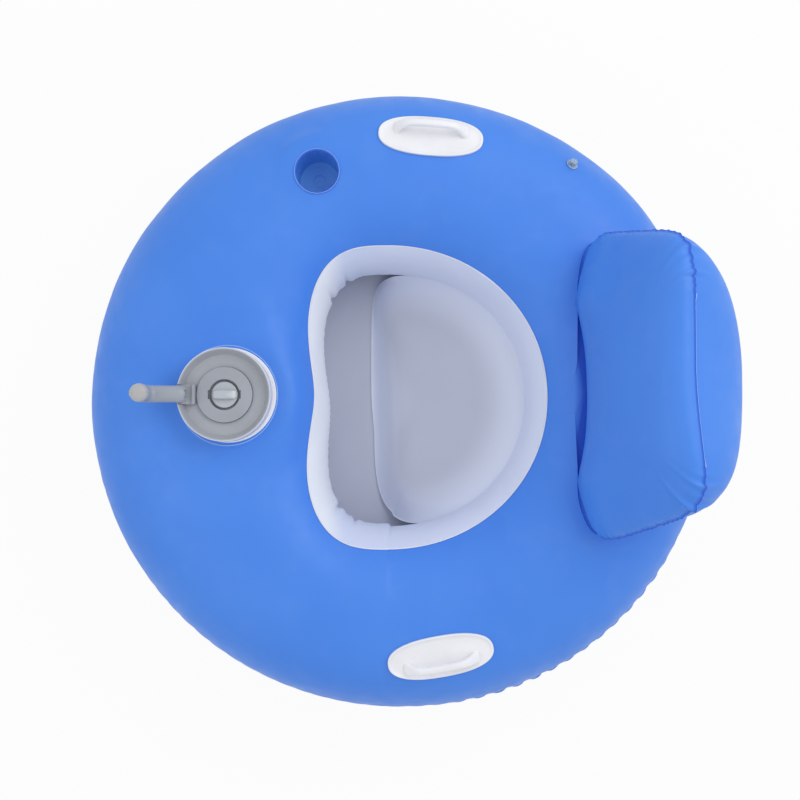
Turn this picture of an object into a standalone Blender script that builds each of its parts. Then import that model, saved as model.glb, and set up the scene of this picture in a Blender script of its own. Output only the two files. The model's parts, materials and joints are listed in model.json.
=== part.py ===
"""Motorized float chair: an inflatable ring with a seat well and a backrest, driven by a steerable electric unit.

Metres, +Z up. The origin is below the ring centre, at the height of the drive unit's foot.
-X is the front, where the drive unit stands, +X is the backrest, and +Y is the rider's right.
"""

import math

import bmesh
import bpy
from mathutils import Matrix, Vector

# Clearances
GAP = 0.0003

# Ring chamber
RING_RADIUS = 0.580
RING_HEIGHT = 0.300
RING_BOTTOM_Z = 0.130
SECTION_POWER = 2.3
SEAM_LIP = 0.005
SEAM_THICK = 0.0024
RING_STEPS = 48
LINING_STEPS = 4
TOP_STEPS = 7
KEEL_STEPS = 5

# Seat well, measured at the seam between blue top and white wall
WELL_CENTRE_X = -0.022
WELL_FRONT = 0.154
WELL_REAR = 0.284
WELL_HALF_WIDTH = 0.268
WELL_FRONT_POWER = 3.06
WELL_REAR_POWER = 2.04
WELL_BULGE = 0.030
NOTCH_DEPTH = 0.024
NOTCH_WIDTH = 0.128
NOTCH_FADE = 0.55
WALL_THICK = 0.0015
FLOOR_RISE = 0.036
FLOOR_THICK = 0.003

# Seat cushion
CUSHION_CENTRE_X = 0.080
CUSHION_FRONT = 0.128
CUSHION_CLEAR = 0.004
CUSHION_CORNER_POWER = 6.0
CUSHION_HEIGHT = 0.058
CUSHION_REAR_RISE = 0.072
CUSHION_TUCK = 0.022
CUSHION_CROWN = 0.010

# Backrest pillow
BACK_INSET = 0.262
BACK_LEAN = 0.152
BACK_RISE = 0.222
BACK_SINK = 0.012
BACK_TAPER = 0.21
BACK_HALF_WIDTH = 0.279
BACK_FRONT_SWELL = 0.050
BACK_REAR_SWELL = 0.198
BACK_BASE_POWER = 3.8
BACK_TOP_POWER = 6.0
BACK_SWELL_POWER = 2.5

# Cup holder
CUP_X = -0.148
CUP_INSET = 0.180
CUP_BORE_R = 0.0370
CUP_WALL = 0.0015
CUP_RIM_R = 0.0410
CUP_RIM_THICK = 0.0030
CUP_DEPTH = 0.090
CUP_SEAT_SINK = 0.003

# Grab handles
RIGHT_HANDLE_X = 0.055
RIGHT_HANDLE_INSET = 0.116
RIGHT_HANDLE_TURN = math.radians(4.5)
LEFT_HANDLE_X = 0.0715
LEFT_HANDLE_INSET = 0.1215
LEFT_HANDLE_TURN = math.radians(10.0)
HANDLE_LENGTH = 0.188
HANDLE_WIDTH = 0.076
HANDLE_EDGE = 0.0035
HANDLE_SEAT_DEPTH = 0.0050
HANDLE_THICK = 0.0035
GRIP_SPAN = 0.118
GRIP_RISE = 0.026
GRIP_ARCH_POWER = 4.6
GRIP_OFFSET = 0.010
GRIP_WIDTH = 0.017
GRIP_DEEP = 0.011

# Inflation valves
VALVE_X = 0.311
VALVE_INSET = 0.161
BACK_VALVE_TURN = math.radians(-12.0)
BACK_VALVE_PHASE = math.radians(78.0)
VALVE_FLANGE_R = 0.0110
VALVE_STEM_R = 0.0055
VALVE_BORE_R = 0.0036
VALVE_STEM_UP = 0.0060
VALVE_STEM_DOWN = 0.0140
VALVE_CAP_R = 0.0066
VALVE_CAP_THICK = 0.0024
VALVE_PLUG_R = 0.0028
VALVE_HINGE_OUT = 0.0090

# Drive unit: sleeve through the ring and turning housing
DRIVE_INSET = 0.273
DRIVE_SEAT_SINK = 0.008
SEAT_FLAT_R = 0.100
SEAT_BLEND_R = 0.175
CANISTER_R = 0.0750
CANISTER_WALL = 0.0030
SLEEVE_CLEAR = 0.0010
SLEEVE_WALL = 0.0020
FLANGE_R = 0.0930
FLANGE_THICK = 0.0012
COLLAR_R = 0.0880
COLLAR_THICK = 0.0042
LOWER_COLLAR_THICK = 0.0054
RETAINER_R = 0.0860
RETAINER_THICK = 0.0082
RETAINER_LOBES = 9
DRIVE_STEPS = 28
RIM_R = 0.0806
RIM_WALL = 0.0024
RIM_RISE = 0.0450
PLATEAU_R = 0.0700
PLATEAU_RISE = 0.0140
PLATEAU_THICK = 0.0030
JOINT_DROP = 0.1200
GASKET_THICK = 0.0014
HOUSING_FLOOR = 0.0030

# Battery lid and knob
SPIGOT_R = 0.0460
SPIGOT_WALL = 0.0022
SPIGOT_RISE = 0.0140
LID_R = 0.0490
LID_RISE = 0.0330
LID_PLATE = 0.0030
RECESS_R = 0.0270
RECESS_DEPTH = 0.0130
KNOB_R = 0.0230
KNOB_DISC = 0.0090
KNOB_BAR_WIDTH = 0.0165
KNOB_BAR_RISE = 0.0105
SPINDLE_R = 0.0050
CAM_REACH = 0.0410
CAM_WIDTH = 0.0120
CAM_THICK = 0.0035
CAM_DROP = 0.0020
EAR_REACH = 0.0360
EAR_WIDTH = 0.0140
EAR_THICK = 0.0035
SEAL_THICK = 0.0014

# Batteries
CELL_R = 0.0166
CELL_LENGTH = 0.0615
CELL_NUB_R = 0.0047
CELL_NUB = 0.0015
CELL_TOP_DROP = 0.0120
CASE_WALL = 0.0016
CASE_FLANGE_R = 0.0580
CASE_FLANGE = 0.0027
CONTACT_R = 0.0380
CONTACT_THICK = 0.0015

# Thrust duct, grilles and motor
DUCT_Z = 0.0620
DUCT_R = 0.0540
DUCT_WALL = 0.0045
DUCT_HALF = 0.0500
NOZZLE_SQUEEZE = 0.0015
FOOT_LENGTH = 0.0640
FOOT_WIDTH = 0.0240
GRILLE_THICK = 0.0035
GRILLE_REBATE = 0.0017
GRILLE_SPOKES = 6
GRILLE_DOME = 0.0030
POD_R = 0.0200
POD_WALL = 0.0024
POD_FRONT = -0.0220
POD_REAR = 0.0300
POD_NOSE = 0.0040
VANE_THICK = 0.0030
CAN_WALL = 0.0013
MAGNET_THICK = 0.0024
ARMATURE_R = 0.0127
SHAFT_R = 0.0030
PYLON_LENGTH = 0.0800
PYLON_WIDTH = 0.0300

# Propeller
PROP_TIP_R = 0.0455
PROP_HUB_R = 0.0110
PROP_HUB_LENGTH = 0.0155
PROP_BLADES = 3
PROP_PITCH = 0.090
PROP_CHORD = 0.0210

# Tiller
PIVOT_OUT = 0.0745
PIVOT_RISE = 0.0550
PIN_R = 0.0030
TUBE_R = 0.0147
GRIP_OUT = 0.1350
GRIP_R = 0.0160
GRIP_TOP_RISE = 0.1120
GRIP_CROWN = 0.0100
ELBOW_R = 0.0220
SHELL_WALL = 0.0025
TONGUE_HALF = 0.0065
TONGUE_R = 0.0090
BRACKET_WIDTH = 0.0344
BRACKET_BACK = 0.0500
SHELF_OUT = 0.1020
SHELF_THICK = 0.0097
BUTTON_RISE = 0.0880
BUTTON_WIDTH = 0.0130
BUTTON_HEIGHT = 0.0200
BUTTON_TRAVEL = 0.0020
SWITCH_DEPTH = 0.0130

# Derived heights
RING_MID_Z = RING_BOTTOM_Z + RING_HEIGHT / 2
DRIVE_SEAT_LEVEL = RING_HEIGHT / 2 - DRIVE_SEAT_SINK
CUP_SEAT_LEVEL = RING_HEIGHT / 2 - CUP_SEAT_SINK
DECK_Z = RING_MID_Z + DRIVE_SEAT_LEVEL
KEEL_Z = RING_MID_Z - DRIVE_SEAT_LEVEL
SLEEVE_R = CANISTER_R + SLEEVE_CLEAR
SLEEVE_OUT_R = SLEEVE_R + SLEEVE_WALL
HOLE_R = SLEEVE_OUT_R + GAP
COLLAR_BASE_Z = DECK_Z + GAP + FLANGE_THICK + GAP
COLLAR_TOP_Z = COLLAR_BASE_Z + COLLAR_THICK
LOWER_COLLAR_Z = KEEL_Z - GAP - LOWER_COLLAR_THICK
RETAINER_Z = LOWER_COLLAR_Z - GAP - RETAINER_THICK
CANISTER_BOTTOM_Z = RETAINER_Z - 0.0040
PIVOT_Z = DECK_Z + PIVOT_RISE
DRIVE_X = -(RING_RADIUS - DRIVE_INSET)
BACK_BASE_X = RING_RADIUS - BACK_INSET
BACK_TOP_X = BACK_BASE_X + BACK_LEAN
CUP_Y = RING_RADIUS - CUP_INSET
RIGHT_HANDLE_Y = RING_RADIUS - RIGHT_HANDLE_INSET
LEFT_HANDLE_Y = RING_RADIUS - LEFT_HANDLE_INSET
VALVE_Y = RING_RADIUS - VALVE_INSET


def clear_scene() -> None:
    """Remove every object of the open scene."""
    for obj in list(bpy.data.objects):
        bpy.data.objects.remove(obj, do_unlink=True)


def material(name, colour, roughness, metallic=0.0):
    """A plain Principled material."""
    mat = bpy.data.materials.get(name) or bpy.data.materials.new(name)
    mat.use_nodes = True
    shader = mat.node_tree.nodes["Principled BSDF"]
    shader.inputs["Base Color"].default_value = (*colour, 1.0)
    shader.inputs["Roughness"].default_value = roughness
    shader.inputs["Metallic"].default_value = metallic
    mat.diffuse_color = (*colour, 1.0)
    return mat


def empty(name, location, parent=None, rotation=None):
    """An axis that pieces hang from."""
    obj = bpy.data.objects.new(name, None)
    obj.empty_display_size = 0.03
    bpy.context.scene.collection.objects.link(obj)
    obj.parent = parent
    obj.location = location
    if rotation is not None:
        obj.rotation_euler = rotation
    return obj


def place(name, bm, mat=None, parent=None, angle=38.0):
    """Turn a bmesh into a named object with outward faces and smooth shading."""
    bmesh.ops.remove_doubles(bm, verts=bm.verts, dist=1e-6)
    bmesh.ops.recalc_face_normals(bm, faces=bm.faces)
    if bm.calc_volume(signed=True) < 0:
        bmesh.ops.reverse_faces(bm, faces=bm.faces)
    mesh = bpy.data.meshes.new(name)
    bm.to_mesh(mesh)
    bm.free()
    obj = bpy.data.objects.new(name, mesh)
    bpy.context.scene.collection.objects.link(obj)
    obj.parent = parent
    if mat is not None:
        mesh.materials.append(mat)
        mesh.shade_smooth()
        mesh.set_sharp_from_angle(angle=math.radians(angle))
    return obj


def cutter(name, bm, parent=None):
    """A helper that only shapes other pieces."""
    obj = place(name, bm, None, parent)
    obj.hide_render = True
    obj.display_type = "WIRE"
    return obj


def boolean(obj, other, operation="DIFFERENCE"):
    """Cut or join one mesh with another."""
    mod = obj.modifiers.new(f"{operation.lower()}_{other.name}", "BOOLEAN")
    mod.operation = operation
    mod.object = other
    mod.solver = "EXACT"
    return obj


def lofted(rings, closed=False, wrap=True):
    """Faces between rings of points: capped at both ends, or closed round when the last ring meets the first."""
    bm = bmesh.new()
    rows = [[bm.verts.new(point) for point in ring] for ring in rings]
    count = len(rows[0])
    pairs = list(zip(rows, rows[1:]))
    if closed:
        pairs.append((rows[-1], rows[0]))
    for low, high in pairs:
        for i in range(count if wrap else count - 1):
            j = (i + 1) % count
            bm.faces.new((low[i], low[j], high[j], high[i]))
    if not closed:
        for row in (rows[0], rows[-1]):
            centre = sum((v.co for v in row), Vector()) / count
            spread = max((v.co - centre).length for v in row)
            if spread < 1e-6:
                continue
            bm.faces.new(row)
    return bm


def turned(profile, segments=40, axis="Z", base=(0.0, 0.0, 0.0)):
    """A closed profile of (radius, height) points turned round an axis through base."""
    bm = bmesh.new()
    rows = []
    for radius, height in profile:
        if radius < 1e-7:
            rows.append([bm.verts.new((0.0, 0.0, height))])
            continue
        row = []
        for i in range(segments):
            turn = 2 * math.pi * i / segments
            row.append(bm.verts.new((radius * math.cos(turn), radius * math.sin(turn), height)))
        rows.append(row)
    for low, high in zip(rows, rows[1:] + rows[:1]):
        if len(low) == 1 and len(high) == 1:
            continue
        for i in range(segments):
            j = (i + 1) % segments
            if len(low) == 1:
                bm.faces.new((low[0], high[j], high[i]))
            elif len(high) == 1:
                bm.faces.new((low[i], low[j], high[0]))
            else:
                bm.faces.new((low[i], low[j], high[j], high[i]))
    if axis == "X":
        bmesh.ops.rotate(bm, verts=bm.verts, matrix=Matrix.Rotation(math.pi / 2, 3, "Y"))
    if axis == "Y":
        bmesh.ops.rotate(bm, verts=bm.verts, matrix=Matrix.Rotation(-math.pi / 2, 3, "X"))
    bmesh.ops.translate(bm, verts=bm.verts, vec=base)
    return bm


def extruded(outline, low, high, matrix=None):
    """A flat outline of (x, y) points raised from low to high."""
    rings = [[Vector((x, y, z)) for x, y in outline] for z in (low, high)]
    bm = lofted(rings)
    if matrix is not None:
        bmesh.ops.transform(bm, matrix=matrix, verts=bm.verts)
    return bm


def block(low, high, bevel=0.0):
    """A box between two corners, its edges softened by a bevel."""
    bm = bmesh.new()
    size = [b - a for a, b in zip(low, high)]
    middle = [(a + b) / 2 for a, b in zip(low, high)]
    bmesh.ops.create_cube(bm, size=1.0)
    bmesh.ops.scale(bm, vec=size, verts=bm.verts)
    if bevel:
        bmesh.ops.bevel(bm, geom=list(bm.edges), offset=bevel, segments=2, profile=0.5, affect="EDGES")
    bmesh.ops.translate(bm, verts=bm.verts, vec=middle)
    return bm


def stadium(half_length, half_width, steps=6):
    """Outline with straight sides and round ends."""
    points = []
    for side in (1, -1):
        for i in range(steps + 1):
            turn = math.pi * (i / steps - 0.5)
            x = side * (half_length - half_width + half_width * math.cos(turn))
            points.append((x, side * half_width * math.sin(turn)))
    return points


def oval(half_length, half_width, power, steps):
    """Superellipse outline."""
    points = []
    for i in range(steps):
        turn = 2 * math.pi * i / steps
        reach = superellipse(turn, half_length, half_width, power)
        points.append((reach * math.cos(turn), reach * math.sin(turn)))
    return points


def superellipse(turn, half_x, half_y, power):
    """Distance from the centre to a superellipse at a given angle."""
    across = abs(math.cos(turn)) / half_x
    along = abs(math.sin(turn)) / half_y
    return (across**power + along**power) ** (-1 / power)


def signed_power(value, power):
    """A power that keeps the sign."""
    return math.copysign(abs(value) ** power, value)


def smooth(value):
    """Ease from 0 to 1."""
    value = min(max(value, 0.0), 1.0)
    return value * value * (3 - 2 * value)


# Ring chamber: a closed tube between the seat well and the outer circle


def well_reach(turn, notch_share=1.0):
    """Distance from the well centre to the seam outline, with a share of its front notch."""
    if math.cos(turn) >= 0:
        return superellipse(turn, WELL_REAR, WELL_HALF_WIDTH, WELL_REAR_POWER)
    reach = superellipse(turn, WELL_FRONT, WELL_HALF_WIDTH, WELL_FRONT_POWER)
    notch = NOTCH_DEPTH * math.exp(-((reach * math.sin(turn) / NOTCH_WIDTH) ** 2))
    return reach - notch * notch_share


def ring_reach(turn):
    """Inner and outer reach of the tube along a ray from the well centre."""
    inner = well_reach(turn, NOTCH_FADE) - WELL_BULGE
    lean = WELL_CENTRE_X * math.cos(turn)
    body = RING_RADIUS - SEAM_LIP
    outer = -lean + math.sqrt(lean**2 - WELL_CENTRE_X**2 + body**2)
    return inner, outer


def seated(x, y, rise, grow):
    """Flatten the skin where moulded parts are welded on."""
    seats = [(DRIVE_X, 0.0, SEAT_FLAT_R, SEAT_BLEND_R, DRIVE_SEAT_LEVEL, True)]
    seats.append((CUP_X, CUP_Y, CUP_RIM_R + 0.010, CUP_RIM_R + 0.045, CUP_SEAT_LEVEL, False))
    for centre_x, centre_y, flat, blend, level, both in seats:
        away = math.hypot(x - centre_x, y - centre_y)
        if away < blend and (rise > 0.03 or (both and rise < -0.03)):
            weight = smooth((blend - away) / (blend - flat))
            rise += weight * (math.copysign(level + grow + 0.0008, rise) - rise)
    return rise


def ring_point(turn, phase, grow=0.0):
    """A point of the tube's skin: turn goes round the ring, phase round the section."""
    inner, outer = ring_reach(turn)
    half = (outer - inner) / 2 + grow
    across = half * signed_power(math.cos(phase), 2 / SECTION_POWER)
    rise = (RING_HEIGHT / 2 + grow) * signed_power(math.sin(phase), 2 / SECTION_POWER)
    reach = (inner + outer) / 2 + across
    x = WELL_CENTRE_X + reach * math.cos(turn)
    y = reach * math.sin(turn)
    return Vector((x, y, RING_MID_Z + seated(x, y, rise, grow)))


def section_phases(turn):
    """Phases of one section: the lining from floor to seam, then the top, the outer seam and the keel."""
    inner, outer = ring_reach(turn)
    share = 1 - 2 * (well_reach(turn) - inner) / (outer - inner)
    seam = math.pi - math.acos(share ** (SECTION_POWER / 2))
    above, low = math.pi, math.pi * 1.5
    for _ in range(40):
        phase = (above + low) / 2
        if ring_point(turn, phase).z > RING_BOTTOM_Z + FLOOR_RISE + FLOOR_THICK + GAP:
            above = phase
        else:
            low = phase
    low = above
    lining = [low + (seam - low) * k / LINING_STEPS for k in range(LINING_STEPS + 1)]
    top = [seam * (1 - k / TOP_STEPS) for k in range(1, TOP_STEPS)]
    keel = [(low - 2 * math.pi) * k / KEEL_STEPS for k in range(1, KEEL_STEPS)]
    return lining, top, keel


def ring_top(x, y):
    """Height of the tube's upper skin above a point of the plan."""
    turn = math.atan2(y, x - WELL_CENTRE_X)
    inner, outer = ring_reach(turn)
    reach = math.hypot(x - WELL_CENTRE_X, y)
    share = min(abs(reach - (inner + outer) / 2) / ((outer - inner) / 2), 1.0)
    rise = RING_HEIGHT / 2 * (1 - share**SECTION_POWER) ** (1 / SECTION_POWER)
    return RING_MID_Z + seated(x, y, rise, 0.0)


def surface_frame(x, y, heading=0.0):
    """Frame on the upper skin: local Z along its normal, local X turned by heading in the plan."""
    step = 0.01
    slope_x = (ring_top(x + step, y) - ring_top(x - step, y)) / (2 * step)
    slope_y = (ring_top(x, y + step) - ring_top(x, y - step)) / (2 * step)
    normal = Vector((-slope_x, -slope_y, 1.0)).normalized()
    ahead = Vector((math.cos(heading), math.sin(heading), 0.0))
    ahead = (ahead - normal * ahead.dot(normal)).normalized()
    side = normal.cross(ahead)
    frame = Matrix((ahead, side, normal)).transposed().to_4x4()
    frame.translation = Vector((x, y, ring_top(x, y)))
    return frame


def ring_rows(grow=0.0):
    """Sections of the tube, each from the well floor over the top to the outer seam and back below."""
    rows = []
    for i in range(RING_STEPS):
        turn = 2 * math.pi * i / RING_STEPS
        lining, top, keel = section_phases(turn)
        outer = ring_reach(turn)[1]
        section = [ring_point(turn, phase, grow) for phase in lining + top]
        for reach, rise in (
            (outer - 0.0008, SEAM_THICK / 2),
            (outer + SEAM_LIP, SEAM_THICK / 2),
            (outer + SEAM_LIP, -SEAM_THICK / 2),
            (outer - 0.0008, -SEAM_THICK / 2),
        ):
            x = WELL_CENTRE_X + (reach + grow) * math.cos(turn)
            y = (reach + grow) * math.sin(turn)
            section.append(Vector((x, y, RING_MID_Z + rise)))
        section += [ring_point(turn, phase, grow) for phase in keel]
        rows.append(section)
    return rows


def build_float(blue, white):
    """Ring chamber, white well wall, floor and cushion."""
    ring = place("float_ring", lofted(ring_rows(), closed=True), blue)
    seat_r = FLANGE_R + 0.0010
    bore = [
        (0, KEEL_Z - 0.05),
        (seat_r, KEEL_Z - 0.05),
        (seat_r, KEEL_Z),
        (HOLE_R, KEEL_Z),
        (HOLE_R, DECK_Z),
        (seat_r, DECK_Z),
        (seat_r, DECK_Z + 0.05),
        (0, DECK_Z + 0.05),
    ]
    boolean(ring, cutter("cut_drive_bore", turned(bore, DRIVE_STEPS, base=(DRIVE_X, 0, 0))))

    floor_z = RING_BOTTOM_Z + FLOOR_RISE
    wall_rows = []
    outline = []
    for i in range(RING_STEPS):
        turn = 2 * math.pi * i / RING_STEPS
        inward = Vector((-math.cos(turn), -math.sin(turn), 0.0))
        lining = [ring_point(turn, phase) for phase in section_phases(turn)[0]]
        skin = [point + inward * 2 * GAP for point in lining]
        face = [point + inward * (2 * GAP + WALL_THICK) for point in lining]
        wall_rows.append(skin + face[::-1])
        edge = lining[0] + inward * 3 * GAP
        outline.append((edge.x, edge.y))
    place("well_wall", lofted(wall_rows, closed=True), white, angle=60)
    place("seat_floor", extruded(outline, floor_z, floor_z + FLOOR_THICK), white)
    return ring


def cushion_reach(turn):
    """Distance from the cushion centre to its edge: the well's narrowest contour, cut off by the front crease."""
    low, high = 0.0, RING_RADIUS
    for _ in range(40):
        reach = (low + high) / 2
        x = CUSHION_CENTRE_X + reach * math.cos(turn) - WELL_CENTRE_X
        y = reach * math.sin(turn)
        if math.hypot(x, y) < ring_reach(math.atan2(y, x))[0] - CUSHION_CLEAR:
            low = reach
        else:
            high = reach
    if math.cos(turn) >= -0.05:
        return low
    front = CUSHION_FRONT / -math.cos(turn)
    return (low**-CUSHION_CORNER_POWER + front**-CUSHION_CORNER_POWER) ** (-1 / CUSHION_CORNER_POWER)


def build_cushion(white):
    """Inflated seat pad: crowned top, sides drawn in at the welds, rear edge rising against the wall."""
    base_z = RING_BOTTOM_Z + FLOOR_RISE + FLOOR_THICK + GAP
    turns = [2 * math.pi * i / 32 for i in range(32)]
    reaches = [cushion_reach(turn) for turn in turns]
    rear = CUSHION_CENTRE_X + reaches[0]
    length = rear - CUSHION_CENTRE_X + CUSHION_FRONT

    def row(tuck, rise, tilt, scale=1.0):
        points = []
        for turn, full in zip(turns, reaches):
            reach = (full - CUSHION_TUCK * tuck) * scale
            x = CUSHION_CENTRE_X + reach * math.cos(turn)
            back = smooth((x - CUSHION_CENTRE_X + CUSHION_FRONT) / length)
            lift = CUSHION_REAR_RISE * back**1.5 * tilt
            points.append(Vector((x, reach * math.sin(turn), base_z + rise + lift)))
        return points

    high = CUSHION_HEIGHT
    rows = [
        row(1.0, 0.0, 0.0),
        row(0.42, high * 0.08, 0.10),
        row(0.08, high * 0.28, 0.30),
        row(0.0, high * 0.50, 0.55),
        row(0.12, high * 0.72, 0.78),
        row(0.45, high * 0.90, 0.93),
        row(1.0, high, 1.0),
        row(1.0, high + CUSHION_CROWN * 0.45, 1.0, 0.80),
        row(1.0, high + CUSHION_CROWN * 0.80, 1.0, 0.55),
        row(1.0, high + CUSHION_CROWN, 1.0, 0.28),
    ]
    return place("seat_cushion", lofted(rows), white, angle=70)


def pillow_axes():
    """Centre, upward direction, forward direction and half height of the backrest's weld plane."""
    base = Vector((BACK_BASE_X, 0.0, RING_BOTTOM_Z + RING_HEIGHT - BACK_SINK))
    top = Vector((BACK_TOP_X, 0.0, RING_BOTTOM_Z + RING_HEIGHT + BACK_RISE))
    up = (top - base).normalized()
    return (base + top) / 2, up, Vector((-up.z, 0.0, up.x)), (top - base).length / 2


def pillow_point(turn, phase, swell):
    """A point of the pillow: turn goes round the weld outline, phase from the weld to the middle of a panel."""
    centre, up, front, half_height = pillow_axes()
    scale = max(math.cos(phase), 0.0) ** (2 / BACK_SWELL_POWER)
    depth = swell * math.sin(phase) ** (2 / BACK_SWELL_POWER)
    power = BACK_BASE_POWER + (BACK_TOP_POWER - BACK_BASE_POWER) * smooth((math.sin(turn) + 1) / 2)
    reach = superellipse(turn, BACK_HALF_WIDTH, half_height, power) * scale
    across = reach * math.cos(turn)
    along = reach * math.sin(turn)
    narrow = 1 - BACK_TAPER * (along / half_height + 1) / 2
    flat = 1 - 0.25 * (abs(across) / BACK_HALF_WIDTH) ** 3
    return centre + up * along + Vector((0.0, across * narrow, 0.0)) + front * depth * flat


def pillow_frame(turn, phase):
    """Frame on the rear panel: local Z along its outward normal, local X to the side."""
    step = 0.02
    point = pillow_point(turn, phase, -BACK_REAR_SWELL)
    round_it = pillow_point(turn + step, phase, -BACK_REAR_SWELL) - point
    inward = pillow_point(turn, phase + step, -BACK_REAR_SWELL) - point
    normal = round_it.cross(inward).normalized()
    if normal.dot(pillow_axes()[2]) > 0:
        normal = -normal
    side = Vector((0.0, 1.0, 0.0))
    side = (side - normal * side.dot(normal)).normalized()
    frame = Matrix((side, normal.cross(side), normal)).transposed().to_4x4()
    frame.translation = point
    return frame


def build_backrest(blue):
    """Backrest pillow: two panels welded round a rounded outline, swelling to the front and further to the rear."""
    turns = [2 * math.pi * i / 36 for i in range(36)]
    phases = [math.radians(degrees) for degrees in (85.5, 74.0, 60.0, 45.0, 30.0, 15.0)]
    rows = [[pillow_point(turn, phase, BACK_FRONT_SWELL) for turn in turns] for phase in phases]
    rows.append([pillow_point(turn, 0.0, 0.0) for turn in turns])
    rows += [[pillow_point(turn, phase, -BACK_REAR_SWELL) for turn in turns] for phase in reversed(phases)]
    pillow = place("backrest_pillow", lofted(rows), blue, angle=70)
    grown = lofted(ring_rows(grow=2 * GAP), closed=True)
    boolean(pillow, cutter("cut_ring_top", grown))
    return pillow


def build_cup(dark_blue, ring):
    """Drop-in cup with a rolled rim and a drain step in its floor."""
    rim_z = RING_MID_Z + CUP_SEAT_LEVEL + GAP
    outer = CUP_BORE_R + CUP_WALL
    low = rim_z - CUP_DEPTH
    profile = [
        (0.0, low),
        (outer - 0.008, low),
        (outer - 0.002, low + 0.002),
        (outer, low + 0.008),
        (outer, rim_z),
        (CUP_RIM_R - 0.0006, rim_z),
        (CUP_RIM_R, rim_z + 0.0010),
        (CUP_RIM_R - 0.0010, rim_z + CUP_RIM_THICK),
        (CUP_BORE_R + 0.0008, rim_z + CUP_RIM_THICK),
        (CUP_BORE_R, rim_z + CUP_RIM_THICK - 0.0010),
        (CUP_BORE_R, low + 0.009),
        (CUP_BORE_R - 0.006, low + 0.003),
        (0.0, low + 0.003),
    ]
    place("cup_holder", turned(profile, 20, base=(CUP_X, CUP_Y, 0)), dark_blue)
    clear = outer + GAP
    reach = CUP_RIM_R + 0.0010
    bore = [
        (0, low - GAP),
        (clear, low - GAP),
        (clear, rim_z - GAP),
        (reach, rim_z - GAP),
        (reach, rim_z + 0.03),
        (0, rim_z + 0.03),
    ]
    boolean(ring, cutter("cut_cup_bore", turned(bore, 20, base=(CUP_X, CUP_Y, 0))))


def build_handle(name, side, frame, white, ring):
    """Moulded oval plate with a raised edge and a bridge grip over its outer half."""
    axis = empty(f"{name}_seat", (0, 0, 0))
    axis.matrix_world = frame
    half_l, half_w = HANDLE_LENGTH / 2, HANDLE_WIDTH / 2
    low = -HANDLE_SEAT_DEPTH + GAP
    floor = low + HANDLE_THICK
    lip = floor + HANDLE_EDGE
    rows = []
    for inset, z in (
        (0.004, low),
        (0.0, low + 0.002),
        (0.0, lip - 0.001),
        (0.001, lip),
        (0.0026, lip),
        (0.0060, floor + 0.0012),
        (0.0110, floor),
    ):
        points = oval(half_l - inset, half_w - inset, 2.4, 24)
        rows.append([Vector((x, y, z)) for x, y in points])
    rows.append([Vector((x, y, floor + 0.0015)) for x, y in oval(half_l * 0.45, half_w * 0.4, 2.2, 24)])
    plate = place(name, lofted(rows), white, axis, angle=50)

    stations = 10
    bow = []
    for k in range(stations + 1):
        share = math.sin(math.pi * (k / stations - 0.5))
        x = GRIP_SPAN / 2 * share * (1 + 0.06 * share**2)
        rise = GRIP_RISE * (1 - abs(share) ** GRIP_ARCH_POWER)
        z = floor - 0.001 + rise
        slope = -GRIP_RISE * GRIP_ARCH_POWER * signed_power(share, GRIP_ARCH_POWER - 1) / (GRIP_SPAN / 2)
        flare = 1 + 0.9 * abs(share) ** 6
        tangent = Vector((1.0, 0.0, slope)).normalized()
        normal = Vector((-tangent.z, 0.0, tangent.x))
        ring_points = []
        for i in range(8):
            turn = 2 * math.pi * i / 8
            offset = Vector((0, side * GRIP_OFFSET + GRIP_WIDTH / 2 * flare * math.cos(turn), 0))
            ring_points.append(Vector((x, 0, z)) + offset + normal * GRIP_DEEP / 2 * math.sin(turn))
        bow.append(ring_points)
    grip = cutter(f"form_{name}_grip", lofted(bow), axis)
    trim = extruded(oval(half_l, half_w, 2.4, 24), low - 0.03, low + 0.0012)
    boolean(grip, cutter(f"trim_{name}_grip", trim, axis))
    boolean(plate, grip, "UNION")
    pocket = extruded(oval(half_l + 2 * GAP, half_w + 2 * GAP, 2.4, 24), -HANDLE_SEAT_DEPTH, 0.03)
    boolean(ring, cutter(f"cut_{name}_pocket", pocket, axis))
    return plate


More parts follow.
